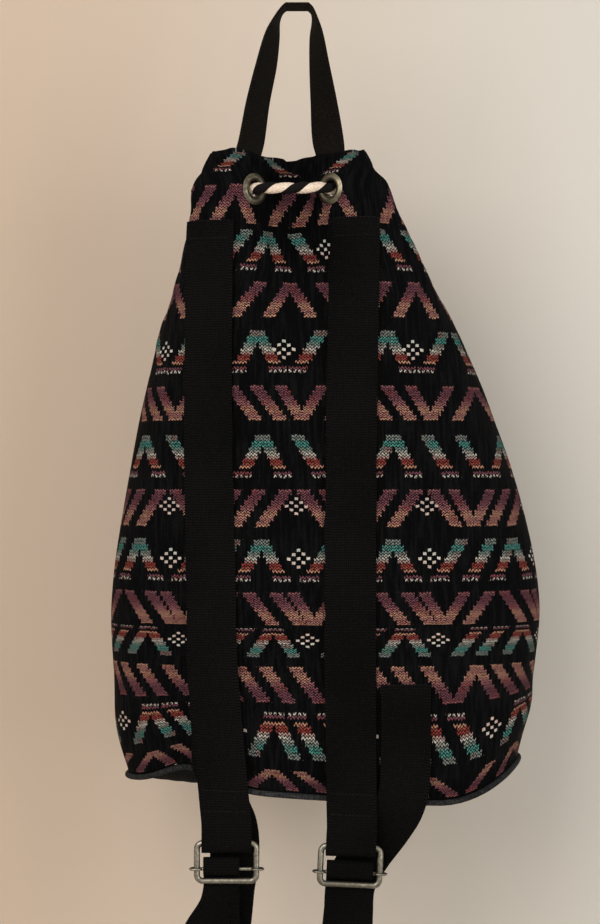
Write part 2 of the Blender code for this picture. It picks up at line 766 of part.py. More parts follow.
def shoulder_rows(line, slider, lift):
    """Rows of a shoulder strap: over the cloth, down free, and round the slider's top bar."""
    rows = []
    steps = 13
    for i in range(steps + 1):
        down = mix(line[0][0], STRAP_LEAVES, i / steps)
        out = STRAP_LIFT + STRAP_THICKNESS / 2 + lift * smoothstep(*ANCHOR_CLEAR, down)
        rows.append(across_cloth(down, read_rows(line, down)[0], STRAP_WIDTH, out))
    slider.seat(sum(p.y for p in rows[-1]) / len(rows[-1]) + FRAME_SETBACK)
    top = FRAME_HEIGHT - WIRE_DIAMETER
    entry = slider.row(-FRAME_SETBACK, top + FOLD_ENTRY, STRAP_WIDTH)
    last = rows[-1]
    for share in (0.25, 0.5, 0.75, 0.9):
        row = []
        for a, b in zip(last, entry):
            row.append(Vector((mix(a.x, b.x, share), mix(a.y, b.y, share**4), mix(a.z, b.z, share))))
        rows.append(row)
    bottom = top - FOLD_DROP + FOLD_RADIUS
    profile = [(-FRAME_SETBACK, top + FOLD_ENTRY), (-FRAME_SETBACK, top)]
    for k in range(7):
        angle = math.pi + math.pi * k / 6
        profile.append((FOLD_RADIUS * math.cos(angle), bottom + FOLD_RADIUS * math.sin(angle)))
    second = -FRAME_SETBACK + STRAP_THICKNESS + 2 * CLEARANCE
    profile += [
        (FOLD_RADIUS, top + 0.001),
        (FOLD_RADIUS * 0.6, top + 0.006),
        (second, top + 0.013),
        (second, top + SEWN_FOLD),
    ]
    rows += [slider.row(y, z, STRAP_WIDTH) for y, z in profile]
    return rows


def threading(slider):
    """Rows of a lower strap in its slider: up behind, over the loose bar, down, and back under it."""
    loose = STRAP_THICKNESS / 2 + CLEARANCE
    crown = BAR_REST + TURN_RISE
    # Each point of the profile: distance behind the frame's middle, height above its bottom bar.
    profile = [
        (0.0090, -0.030),
        (0.0088, -0.016),
        (0.0078, -0.004),
        (0.0062, 0.005),
        (0.0044, 0.0105),
    ]
    for k in range(7):
        angle = math.pi * k / 6
        profile.append((TURN_RADIUS * math.cos(angle), crown + TURN_RADIUS * math.sin(angle)))
    gap_middle = (WIRE_DIAMETER / 2 + BAR_REST - BAR_DIAMETER / 2) / 2
    behind = WIRE_DIAMETER / 2 + loose
    profile += [
        (-TURN_RADIUS, BAR_REST),
        (-0.0029, BAR_REST - 0.0024),
        (-0.0012, gap_middle + 0.0003),
        (0.0014, gap_middle - 0.0005),
        (0.0034, 0.0026),
        (behind + 0.0006, 0.0),
        (behind + 0.0005, -0.004),
    ]
    return [slider.row(y, z, slider.squeezed, slider.aside) for y, z in profile]


def lower_rows(slider, line, swing, tail):
    """Rows of a lower strap: on the cloth, down in a slack bend, through the slider, and the tail."""
    rows = []
    for down, x in line:
        rows.append(across_cloth(down, x, STRAP_WIDTH, STRAP_LIFT + STRAP_THICKNESS / 2))
    for x, y, z, tilt, turn in swing:
        lean, twist = math.radians(tilt), math.radians(turn)
        across = Vector((math.cos(lean) * math.cos(twist), -math.sin(twist), -math.sin(lean))).normalized()
        rows.append(straight_row(Vector((x, y, BASE_LEVEL + z)), across, STRAP_WIDTH))
    entry = slider.at(slider.aside, 0.009, -0.030)
    down_leg = swing[-1]
    bend = (down_leg[1] - entry.y) / 2
    floor = entry.z - 0.008
    for k in range(1, 6):
        angle = math.pi * k / 6
        y = entry.y + bend + bend * math.cos(angle)
        z = floor - bend * math.sin(angle)
        x = mix(down_leg[0], entry.x, k / 6)
        width = mix(STRAP_WIDTH, slider.squeezed, k / 6)
        rows.append(straight_row(Vector((x, y, z)), Vector((1, 0, 0)), width))
    rows += threading(slider)
    start = slider.at(0.0, 0.0039, 0.0)
    for share, aside, back, turn, width_share in tail:
        angle = math.radians(turn)
        across = Vector((math.cos(angle), math.sin(angle), 0.0))
        centre = Vector((start.x + aside, start.y + back, start.z - 0.004 - TAIL_LENGTH * share))
        rows.append(straight_row(centre, across, mix(slider.squeezed, STRAP_WIDTH, width_share)))
    return rows


def smooth_route(route, count):
    """This many points, evenly spaced, on a smooth curve through the route."""
    points = [Vector(p) for p in route]
    ends = [2 * points[0] - points[1], *points, 2 * points[-1] - points[-2]]
    fine = []
    steps = 12
    for a, b, c, d in zip(ends, ends[1:], ends[2:], ends[3:]):
        for k in range(steps):
            s = k / steps
            curve = 2 * b + (c - a) * s + (2 * a - 5 * b + 4 * c - d) * s**2
            fine.append(0.5 * (curve + (3 * b - a - 3 * c + d) * s**3))
    fine.append(points[-1])
    run = [0.0]
    for a, b in zip(fine, fine[1:]):
        run.append(run[-1] + (b - a).length)
    found, k = [], 0
    for i in range(count):
        target = run[-1] * i / (count - 1)
        while k < len(run) - 2 and run[k + 1] < target:
            k += 1
        found.append(mix(fine[k], fine[k + 1], (target - run[k]) / (run[k + 1] - run[k])))
    return found


def build_rope():
    """The drawstring with a stopper knot under each end."""
    fibre = finish("rope_fibre", (0.62, 0.52, 0.40), 0.9)
    mouth = Vector((0, 0, -LOOP_REACH))
    line = [mouth + p for p in smooth_route(ROPE_ROUTE, ROPE_POINTS)]
    add_wire("drawstring", line, ROPE_DIAMETER / 2, fibre, False, 2)
    for name, end, before in (
        ("right_rope_knot", line[0], line[1]),
        ("left_rope_knot", line[-1], line[-2]),
    ):
        down = (end - before).normalized()
        knot = build_knot(name, fibre)
        knot.matrix_world = on_axis(end + down * CLEARANCE, down)


def build_knot(name, fibre):
    """A stopper knot with the rope's cut end below it, turned about +Z from the knot's top."""
    rope, knot = ROPE_DIAMETER / 2, KNOT_DIAMETER / 2
    profile = (
        (rope, 0.0),
        (knot * 0.86, KNOT_LENGTH * 0.20),
        (knot, KNOT_LENGTH * 0.45),
        (knot * 0.92, KNOT_LENGTH * 0.72),
        (rope, KNOT_LENGTH),
        (rope, KNOT_LENGTH + KNOT_STUB),
    )
    sides = 8
    points, faces = [], []
    for radius, height in profile:
        for i in range(sides):
            turn = 2 * math.pi * i / sides
            points.append(Vector((radius * math.cos(turn), radius * math.sin(turn), height)))
    for k in range(len(profile) - 1):
        faces += ring_faces(k * sides, (k + 1) * sides, sides)
    faces.append(tuple(reversed(range(sides))))
    last = (len(profile) - 1) * sides
    faces.append(tuple(range(last, last + sides)))
    return add_mesh(name, points, faces, fibre)


def build_straps(left, right):
    webbing = finish("strap_webbing", (0.011, 0.010, 0.010), 0.75)
    anchor_lift = STRAP_THICKNESS + 2 * STRAP_LIFT
    # Each row of a strap's line: share of the height down, and X of the strap's middle.
    left_line = ((0.113, -0.0665), (0.45, -0.0668), (0.79, -0.0630), (0.86, -0.0605))
    right_line = ((0.108, 0.0435), (0.27, 0.0424), (0.42, 0.0409), (0.86, 0.0398))
    left_rows = shoulder_rows(left_line, left, anchor_lift)
    add_ribbon("left_shoulder_strap", left_rows, STRAP_THICKNESS, webbing)
    right_rows = shoulder_rows(right_line, right, 0.0)
    add_ribbon("right_shoulder_strap", right_rows, STRAP_THICKNESS, webbing)
    # Each row of a slack bend: X, Y and height above the base of the strap's middle, its tilt and
    # its turn in degrees.
    left_swing = (
        (-0.0600, -0.0565, 0.0133, 8, 9),
        (-0.0540, -0.0548, -0.0007, 16, 8),
        (-0.0495, -0.0515, -0.0157, 10, 5),
        (-0.0473, -0.0470, -0.0347, 2, 4),
        (-0.0478, -0.0400, -0.0577, -3, 0),
        (-0.0510, -0.0350, -0.0787, -3, 0),
        (-0.0529, -0.0330, -0.0967, 0, 0),
    )
    right_swing = (
        (0.0803, -0.0618, 0.0033, 8, -2),
        (0.0756, -0.0606, -0.0127, 18, 0),
        (0.0664, -0.0560, -0.0277, 28, 0),
        (0.0514, -0.0470, -0.0497, 28, 0),
        (0.0410, -0.0360, -0.0727, 14, 0),
        (0.0392, -0.0330, -0.0967, 0, 0),
    )
    # Each row of a tail: share of its length, shift aside, shift back, turn in degrees, and width.
    left_tail = (
        (0.15, -0.0065, 0.0, 22, 0.15),
        (0.40, -0.0140, -0.001, 18, 0.75),
        (0.70, -0.0210, -0.003, 8, 1.0),
        (1.00, -0.0270, -0.004, 4, 1.0),
    )
    right_tail = (
        (0.15, -0.0005, 0.0, 0, 0.4),
        (0.40, -0.0015, 0.0, -3, 1.0),
        (0.70, -0.0030, 0.001, -6, 1.0),
        (1.00, -0.0040, 0.002, -6, 1.0),
    )
    left_anchor = ((0.832, -0.0625), (0.88, -0.0622), (0.93, -0.0612))
    right_anchor = ((0.832, 0.0816), (0.88, 0.0816), (0.93, 0.0812))
    left_rows = lower_rows(left, left_anchor, left_swing, left_tail)
    add_ribbon("left_lower_strap", left_rows, STRAP_THICKNESS, webbing)
    right_rows = lower_rows(right, right_anchor, right_swing, right_tail)
    add_ribbon("right_lower_strap", right_rows, STRAP_THICKNESS, webbing)


def main():
    for obj in list(bpy.context.scene.objects):
        bpy.data.objects.remove(obj, do_unlink=True)
    angles = even_angles()
    build_shell(angles)
    build_eyelets()
    build_base(angles)
    build_haul_loop()
    left = Slider("left", -0.0529, BASE_LEVEL - 0.0663, 0.0, BUNCHED_WIDTH, BUNCHED_ASIDE)
    right = Slider("right", 0.0392, BASE_LEVEL - 0.0686, 2.5, SQUEEZED_WIDTH, 0.0)
    build_straps(left, right)
    build_rope()
    build_slider(left)
    build_slider(right)


main()
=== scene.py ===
"""Looks of a drawstring backpack that hangs by its haul loop.

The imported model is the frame: metres, +Z up, the strap side towards -Y, and the origin at the inner
top of the haul loop. Every piece here lies where its CAD node lies and stands for that node.
"""

import logging
import math
from dataclasses import dataclass
from enum import Enum
from typing import Callable, Iterable, Sequence

import bmesh
import bpy
from mathutils import Matrix, Vector

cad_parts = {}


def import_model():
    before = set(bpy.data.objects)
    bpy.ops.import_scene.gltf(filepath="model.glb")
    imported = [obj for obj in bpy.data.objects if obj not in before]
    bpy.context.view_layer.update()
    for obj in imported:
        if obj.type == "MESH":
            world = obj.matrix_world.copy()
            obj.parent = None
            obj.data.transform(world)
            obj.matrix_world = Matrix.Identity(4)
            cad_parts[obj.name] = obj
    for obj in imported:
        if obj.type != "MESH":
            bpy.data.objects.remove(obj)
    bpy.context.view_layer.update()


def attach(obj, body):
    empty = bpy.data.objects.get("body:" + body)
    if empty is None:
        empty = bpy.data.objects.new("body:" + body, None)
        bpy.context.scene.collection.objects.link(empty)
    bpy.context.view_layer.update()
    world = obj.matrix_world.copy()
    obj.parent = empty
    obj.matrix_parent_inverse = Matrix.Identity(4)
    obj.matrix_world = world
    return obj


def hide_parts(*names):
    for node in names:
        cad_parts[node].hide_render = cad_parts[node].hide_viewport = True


LOG = logging.getLogger("backpack")

Colour = tuple[float, float, float]
Rows = list[list[Vector]]

BAG = "bag"
CLEARANCE = 0.0003

Place = float | Vector


def mix(a: Place, b: Place, share: float) -> Place:
    """The value or point this share of the way from a to b."""
    return a + (b - a) * share


def hermite(a: Place, b: Place, start: Place, end: Place, s: float) -> Place:
    """The point at share s of the curve from a to b that has these slopes at its ends."""
    return (
        (2 * s**3 - 3 * s**2 + 1) * a + (s**3 - 2 * s**2 + s) * start
        + (3 * s**2 - 2 * s**3) * b + (s**3 - s**2) * end
    )


def smoothstep(low: float, high: float, value: float) -> float:
    """0 below low, 1 above high, and a smooth rise between."""
    share = min(max((value - low) / (high - low), 0.0), 1.0)
    return share * share * (3.0 - 2.0 * share)


def bell(distance: float, width: float) -> float:
    """A bell curve, 1 at no distance."""
    return math.exp(-((distance / width) ** 2))


def power(value: float, exponent: float) -> float:
    """A power that keeps the sign."""
    return math.copysign(abs(value) ** exponent, value)


def bisect(low: float, high: float, holds: Callable[[float], bool]) -> float:
    """Where a condition that holds at low stops holding on the way to high."""
    for _ in range(40):
        middle = (low + high) / 2
        low, high = (middle, high) if holds(middle) else (low, middle)
    return low


def srgb(red: int, green: int, blue: int) -> Colour:
    """A screen colour from 0 to 255 as linear light."""
    shares = (red / 255, green / 255, blue / 255)
    return tuple(s / 12.92 if s <= 0.04045 else ((s + 0.055) / 1.055) ** 2.4 for s in shares)


def read_rows(rows: Sequence[Sequence[float]], at: float) -> list[float]:
    """The rows' values at one place, on a smooth curve through them.

    Args:
        rows: places in rising order, each with its values.
        at: the place asked for.

    Returns:
        The values there.
    """
    last = len(rows) - 1
    k = max(i for i in range(last) if rows[i][0] <= at or i == 0)
    a, b = rows[k], rows[k + 1]
    before, after = rows[max(k - 1, 0)], rows[min(k + 2, last)]
    span = b[0] - a[0]
    s = min(max((at - a[0]) / span, 0.0), 1.0)
    found = []
    for i in range(1, len(a)):
        start = (b[i] - before[i]) / (b[0] - before[0]) * span
        end = (after[i] - a[i]) / (after[0] - a[0]) * span
        found.append(hermite(a[i], b[i], start, end, s))
    return found


def distances(points: Sequence[Vector]) -> list[float]:
    """How far along a line each of its points lies."""
    run = [0.0]
    for a, b in zip(points, points[1:]):
        run.append(run[-1] + (b - a).length)
    return run


def picked(values: Sequence[Place], run: Sequence[float], targets: Iterable[float]) -> list[Place]:
    """The values at these rising distances, where run gives each value's own distance."""
    found, k = [], 0
    for target in targets:
        while k < len(run) - 2 and run[k + 1] < target:
            k += 1
        found.append(mix(values[k], values[k + 1], (target - run[k]) / max(run[k + 1] - run[k], 1e-9)))
    return found


def smooth_line(route: Sequence[Vector], spacing: float) -> list[Vector]:
    """Evenly spaced points, about this far apart, on a smooth curve through a route."""
    ends = [2 * route[0] - route[1], *route, 2 * route[-1] - route[-2]]
    fine = []
    for a, b, c, d in zip(ends, ends[1:], ends[2:], ends[3:]):
        for k in range(16):
            s = k / 16
            curve = 2 * b + (c - a) * s + (2 * a - 5 * b + 4 * c - d) * s**2
            fine.append(0.5 * (curve + (3 * b - a - 3 * c + d) * s**3))
    fine.append(route[-1].copy())
    run = distances(fine)
    count = max(2, round(run[-1] / spacing) + 1)
    return picked(fine, run, [run[-1] * i / (count - 1) for i in range(count)])


def on_axis(centre: Vector, axis: Vector) -> Matrix:
    """The matrix that stands a piece turned about +Z on this axis."""
    return Matrix.Translation(centre) @ axis.to_track_quat("Z", "Y").to_matrix().to_4x4()


def deselect() -> None:
    """Leaves nothing selected."""
    bpy.ops.object.select_all(action="DESELECT")


def take(piece: bpy.types.Object) -> None:
    """Selects one piece and makes it the active one."""
    deselect()
    piece.select_set(True)
    bpy.context.view_layer.objects.active = piece


def apply_modifiers(piece: bpy.types.Object) -> None:
    """Applies the modifiers of a piece in their order."""
    take(piece)
    for modifier in list(piece.modifiers):
        bpy.ops.object.modifier_apply(modifier=modifier.name)


def smooth(piece: bpy.types.Object, degrees: float = 40.0) -> None:
    """Smooth shading up to this angle between faces."""
    take(piece)
    bpy.ops.object.shade_smooth_by_angle(angle=math.radians(degrees))


def settle(piece: bpy.types.Object) -> None:
    """Moves a piece's place into its mesh."""
    take(piece)
    bpy.ops.object.transform_apply(location=True, rotation=True, scale=True)


def turn_out(piece: bpy.types.Object) -> None:
    """Turns the faces of a closed piece outward."""
    take(piece)
    bpy.ops.object.mode_set(mode="EDIT")
    bpy.ops.mesh.select_all(action="SELECT")
    bpy.ops.mesh.normals_make_consistent(inside=False)
    bpy.ops.object.mode_set(mode="OBJECT")


def close_holes(piece: bpy.types.Object, first: int = 0) -> None:
    """Fills the holes whose edges start at vertices from this one on."""
    work = bmesh.new()
    work.from_mesh(piece.data)
    bmesh.ops.holes_fill(work, edges=[e for e in work.edges if e.is_boundary and e.verts[0].index >= first])
    work.to_mesh(piece.data)
    work.free()


def add_object(name: str, data: bpy.types.ID) -> bpy.types.Object:
    """A new object in the scene."""
    piece = bpy.data.objects.new(name, data)
    bpy.context.scene.collection.objects.link(piece)
    return piece


def add_mesh(name: str, points: Iterable[Vector], faces: list[tuple]) -> bpy.types.Object:
    """A new piece from points and faces."""
    mesh = bpy.data.meshes.new(name)
    mesh.from_pydata([tuple(p) for p in points], [], faces)
    mesh.update()
    return add_object(name, mesh)


def grid_piece(
    name: str, rows: Rows, chart: Callable[[int, int], tuple[float, float]], closed: bool = False
) -> bpy.types.Object:
    """A sheet of quads through rows of points, with its own UV map.

    Args:
        name: the piece's name.
        rows: rows of equally many points.
        chart: gives the UV of row i at column j, where j may be one past the last column.
        closed: whether each row runs round and closes.

    Returns:
        The new piece.
    """
    width = len(rows[0])
    faces, places = [], []
    for i in range(len(rows) - 1):
        for j in range(width if closed else width - 1):
            k = (j + 1) % width
            faces.append((i * width + j, (i + 1) * width + j, (i + 1) * width + k, i * width + k))
            places += [chart(i, j), chart(i + 1, j), chart(i + 1, j + 1), chart(i, j + 1)]
    piece = add_mesh(name, [p for row in rows for p in row], faces)
    layer = piece.data.uv_layers.new(name="weave")
    layer.data.foreach_set("uv", [v for place in places for v in place])
    return piece


def thicken(piece: bpy.types.Object, thickness: float, offset: float) -> None:
    """Gives a sheet its thickness."""
    wall = piece.modifiers.new("thickness", "SOLIDIFY")
    wall.thickness = thickness
    wall.offset = offset
    wall.use_even_offset = False
    apply_modifiers(piece)


def wire_piece(name: str, line: Sequence[Vector], radius: float, closed: bool) -> bpy.types.Object:
    """A round wire or piping along a line, as a mesh."""
    curve = bpy.data.curves.new(name, "CURVE")
    curve.dimensions = "3D"
    curve.bevel_depth = radius
    curve.bevel_resolution = 6
    curve.use_fill_caps = not closed
    spline = curve.splines.new("POLY")
    spline.points.add(len(line) - 1)
    for place, point in zip(spline.points, line):
        place.co = (*point, 1.0)
    spline.use_cyclic_u = closed
    take(add_object(name, curve))
    bpy.ops.object.convert(target="MESH")
    piece = bpy.context.object
    piece.name = name
    smooth(piece)
    return piece


def lathe_piece(name: str, profile: Sequence[tuple[float, float]], sides: int = 48) -> bpy.types.Object:
    """A closed ring about +Z, extruded ring by ring from a circle and bridged shut.

    Args:
        name: the piece's name.
        profile: (radius, height) of each ring, round the section.
        sides: how many sides the rings have.

    Returns:
        The new piece, at the origin.
    """
    deselect()
    radius, height = profile[0]
    bpy.ops.mesh.primitive_circle_add(vertices=sides, radius=radius, location=(0.0, 0.0, height))
    piece = bpy.context.object
    piece.name = name
    settle(piece)
    bpy.ops.object.mode_set(mode="EDIT")
    bpy.ops.mesh.select_all(action="SELECT")
    for (r0, h0), (r1, h1) in zip(profile, profile[1:]):
        bpy.ops.mesh.extrude_edges_move(TRANSFORM_OT_translate={"value": (0.0, 0.0, h1 - h0)})
        if abs(r1 - r0) > 1e-7:
            bpy.ops.transform.resize(value=(r1 / r0, r1 / r0, 1.0), center_override=(0.0, 0.0, h1))
    bpy.ops.mesh.select_all(action="DESELECT")
    bpy.ops.mesh.select_non_manifold(extend=False)
    bpy.ops.mesh.bridge_edge_loops()
    bpy.ops.object.mode_set(mode="OBJECT")
    turn_out(piece)
    smooth(piece, 50.0)
    return piece


def copy_piece(piece: bpy.types.Object, name: str, place: Matrix) -> bpy.types.Object:
    """A copy of a piece with its own mesh, moved to a place."""
    twin = piece.copy()
    twin.data = piece.data.copy()
    twin.name = name
    twin.data.transform(place)
    bpy.context.scene.collection.objects.link(twin)
    return twin


def join(name: str, pieces: Sequence[bpy.types.Object]) -> bpy.types.Object:
    """Several meshes as one piece."""
    take(pieces[0])
    for piece in pieces[1:]:
        piece.select_set(True)
    bpy.ops.object.join()
    pieces[0].name = name
    return pieces[0]


def dress(
    piece: bpy.types.Object, material: bpy.types.Material, nodes: Sequence[str] = (), body: str = BAG
) -> bpy.types.Object:
    """Gives a piece its finish and its place in the frame.

    Args:
        piece: the finished piece.
        material: its material.
        nodes: the CAD nodes that the piece stands for.
        body: the CAD body that it rides on.

    Returns:
        The same piece.
    """
    piece.data.materials.clear()
    piece.data.materials.append(material)
    if nodes:
        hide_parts(*nodes)
    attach(piece, body)
    LOG.info("%s rides on %s and stands for %s", piece.name, body, ", ".join(nodes) or "no node")
    return piece


def math_method(operation: str, swapped: bool = False) -> Callable:
    """A method of Value that adds one Math node."""

    def method(self: "Value", other: object = 0.0) -> "Value":
        return self.graph.calc(operation, other, self) if swapped else self.graph.calc(operation, self, other)

    return method


class Value:
    """The output of a node, which adds, multiplies and compares like a number."""

    __add__ = __radd__ = math_method("ADD")
    __sub__, __rsub__ = math_method("SUBTRACT"), math_method("SUBTRACT", swapped=True)
    __mul__ = math_method("MULTIPLY")
    __truediv__ = math_method("DIVIDE")
    __lt__, __gt__ = math_method("LESS_THAN"), math_method("GREATER_THAN")
    __abs__ = math_method("ABSOLUTE")
    floor, round, fract = math_method("FLOOR"), math_method("ROUND"), math_method("FRACT")
    sine, larger, pingpong = math_method("SINE"), math_method("MAXIMUM"), math_method("PINGPONG")

    def __init__(self, graph: "Graph", socket: bpy.types.NodeSocket) -> None:
        """Holds a socket of a graph."""
        self.graph, self.socket = graph, socket


class Graph:
    """A short way to write a node tree."""

    def __init__(self, tree: bpy.types.NodeTree) -> None:
        """Starts on an existing tree."""
        self.tree = tree

    def put(self, socket: bpy.types.NodeSocket, value: object) -> None:
        """Links a socket to a value's, or sets it."""
        if isinstance(value, Value):
            self.tree.links.new(value.socket, socket)
        elif isinstance(value, tuple) and len(value) == 3 and len(socket.default_value) == 4:
            socket.default_value = (*value, 1.0)
        else:
            socket.default_value = value

    def node(self, kind: str, inputs: dict | None = None, **settings: object) -> bpy.types.Node:
        """Adds a node, sets its properties and then its inputs, by name or number."""
        node = self.tree.nodes.new(kind)
        for key, value in settings.items():
            setattr(node, key, value)
        for key, value in (inputs or {}).items():
            self.put(node.inputs[key], value)
        return node

    def out(self, kind: str, output: int | str, inputs: dict | None = None, **settings: object) -> Value:
        """Adds a node and gives one of its outputs."""
        return Value(self, self.node(kind, inputs, **settings).outputs[output])

    def calc(self, operation: str, *values: object) -> Value:
        """One sum, product or other operation on numbers."""
        return self.out("ShaderNodeMath", 0, dict(enumerate(values)), operation=operation)

    def blend(self, share: object, a: object, b: object) -> Value:
        """Mixes two colours."""
        return self.out("ShaderNodeMix", 2, {0: share, 6: a, 7: b}, data_type="RGBA")

    def span(self, value: Value, low: float, high: float, to_low: float, to_high: float) -> Value:
        """Maps a range of numbers to another, smoothly and clamped."""
        inputs = dict(enumerate((value, low, high, to_low, to_high)))
        return self.out("ShaderNodeMapRange", 0, inputs, interpolation_type="SMOOTHSTEP")

    def noise(self, vector: Value, scale: float = 1.0, detail: float = 3.0) -> Value:
        """Seedless noise from 0 to 1 at a place."""
        return self.out("ShaderNodeTexNoise", "Fac", {"Vector": vector, "Scale": scale, "Detail": detail})

    def ramp(self, value: Value, stops: Sequence[tuple], constant: bool = False) -> tuple[Value, Value]:
        """The colour and the alpha of a ramp with (place, channels) stops."""
        node = self.node("ShaderNodeValToRGB", {0: value})
        band = node.color_ramp
        band.interpolation = "CONSTANT" if constant else "LINEAR"
        while len(band.elements) < len(stops):
            band.elements.new(1.0)
        for element, (place, channels) in zip(band.elements, stops):
            element.position = place
            element.color = channels if len(channels) == 4 else (*channels, 1.0)
        return Value(self, node.outputs[0]), Value(self, node.outputs[1])

    def vector(self, x: object, y: object, z: object = 0.0) -> Value:
        """A vector from three numbers."""
        return self.out("ShaderNodeCombineXYZ", 0, {0: x, 1: y, 2: z})

    def parts(self, value: Value, kind: str = "XYZ") -> list[Value]:
        """The three parts of a vector, or of a colour if kind is Color."""
        return [Value(self, s) for s in self.node(f"ShaderNodeSeparate{kind}", {0: value}).outputs]

    def uv(self) -> Value:
        """The piece's own UV map."""
        return self.out("ShaderNodeTexCoord", "UV")

    def place(self) -> Value:
        """Object coordinates, in metres."""
        return self.out("ShaderNodeTexCoord", "Object")

    def group(self, tree: bpy.types.NodeTree, **values: object) -> Value:
        """The output of a shared group with its own values."""
        return self.out("ShaderNodeGroup", 0, values, node_tree=tree)


class Surface(Graph):
    """The graph of a new material, with its shader."""

    def __init__(self, name: str, **values: float) -> None:
        """Makes the material and sets the shader's inputs."""
        self.material = bpy.data.materials.new(name)
        self.material.use_nodes = True
        super().__init__(self.material.node_tree)
        self.shader = self.tree.nodes["Principled BSDF"]
        self.shade(**values)

    def shade(self, **values: object) -> None:
        """Sets or links inputs of the shader, named with _ for a space."""
        for key, value in values.items():
            self.put(self.shader.inputs[key.replace("_", " ")], value)

    def bump(self, height: Value, distance: float) -> None:
        """Feeds a height into the shader's normal."""
        inputs = {"Strength": 0.8, "Distance": distance, "Height": height}
        self.shade(Normal=self.out("ShaderNodeBump", 0, inputs))


FLOAT = "NodeSocketFloat"
VECTOR = "NodeSocketVector"
COLOUR = "NodeSocketColor"
MARK_HALF = 0.051
PAIR_NARROWER = 0.004


def plain_weave(g: Graph, place: Value, across: Value, along: Value) -> Value:
    """Threads that pass over and under each other, as a height from 0 to 1."""
    x, y, _ = g.parts(place)
    across, along = x * across, y * along
    over = (across.floor() + along.floor()).pingpong(1.0)
    return abs((across * math.pi).sine()) * over + abs((along * math.pi).sine()) * (1.0 - over)


def mottling(g: Graph, place: Value) -> Value:
    """Slow and fine mottling of a surface, as a mask about 0.5."""
    return g.noise(place, 14.0, 2.0) * 0.55 + g.noise(place, 420.0) * 0.45


def weft_mark(g: Graph, across: Value, fall: Value, spread: Value, layout: Value, there: Value) -> Value:
    """One slanting mark, or one pair that meets at the top or the bottom, in a repeat of width 1."""
    centre, slant, paired = g.parts(layout, "Color")
    slant = slant - 0.5
    off = across - centre
    off = off - off.round()
    off = off + paired * (abs(off) - off)
    meets = paired * (slant < 0.0) + (1.0 - paired) * 0.5
    half = MARK_HALF - paired * PAIR_NARROWER + spread
    return (abs(off - slant * (fall - meets)) < half) * there


def effect_group(name: str, output: str, effect: Callable[..., Value], **kinds: str) -> bpy.types.NodeTree:
    """A node group that holds one effect.

    Args:
        name: the group's name.
        output: the name of its output, a number.
        effect: takes the group's graph and its inputs, and returns the output's value.
        kinds: the socket type of each input.

    Returns:
        The group.
    """
    tree = bpy.data.node_groups.new(name, "ShaderNodeTree")
    for label, kind in kinds.items():
        tree.interface.new_socket(label, in_out="INPUT", socket_type=kind)
    tree.interface.new_socket(output, in_out="OUTPUT", socket_type=FLOAT)
    g = Graph(tree)
    given = g.node("NodeGroupInput").outputs
    value = effect(g, *[Value(g, given[label]) for label in kinds])
    g.node("NodeGroupOutput", {output: value})
    return tree


class Groups:
    """The node groups that the finishes share."""

    def __init__(self) -> None:
        """Makes the groups."""
        self.weave = effect_group("plain_weave", "Height", plain_weave, Vector=VECTOR, Across=FLOAT, Along=FLOAT)
        self.mottle = effect_group("mottle", "Mask", mottling, Vector=VECTOR)
        kinds = {"Across": FLOAT, "Fall": FLOAT, "Spread": FLOAT, "Layout": COLOUR, "On": FLOAT}
        self.mark = effect_group("weft_mark", "Mask", weft_mark, **kinds)


class Motif(Enum):
    """What a woven mark does as it falls: (slant per row as a share of the repeat, whether paired)."""

    PEAK = (0.165, 1.0)
    VALLEY = (-0.165, 1.0)
    LEFT = (-0.20, 0.0)
    RIGHT = (0.20, 0.0)


class Tone(Enum):
    """How the weft colours run down a row: (whether it is a rose row, whether it is turned over)."""

    TEAL = (0.0, 0.0)
    ROSE = (1.0, 0.0)
    TEAL_TURNED = (0.0, 1.0)
    ROSE_TURNED = (1.0, 1.0)


@dataclass(frozen=True)
class PatternRow:
    """One row of woven marks: its top and bottom as shares of the cloth's height, and its marks."""

    top: float
    bottom: float
    tone: Tone
    marks: tuple[tuple[Motif, float], ...]
    dots: float | None = None

    def mark(self, k: int) -> tuple[float, float, float, float]:
        """Mark k as four channels: its place, its slant, whether it is paired, and whether there is one."""
        if k >= len(self.marks):
            return 0.5, 0.5, 0.0, 0.0
        motif, place = self.marks[k]
        slant, paired = motif.value
        return place, slant + 0.5, paired, 1.0

    def diamond(self) -> tuple[float, float, float, float]:
        """The row's diamond of dots as four channels: its place, two unused, and whether there is one."""
        return 0.5 if self.dots is None else self.dots, 0.0, 0.0, float(self.dots is not None)


PEAK, VALLEY, LEFT, RIGHT = Motif

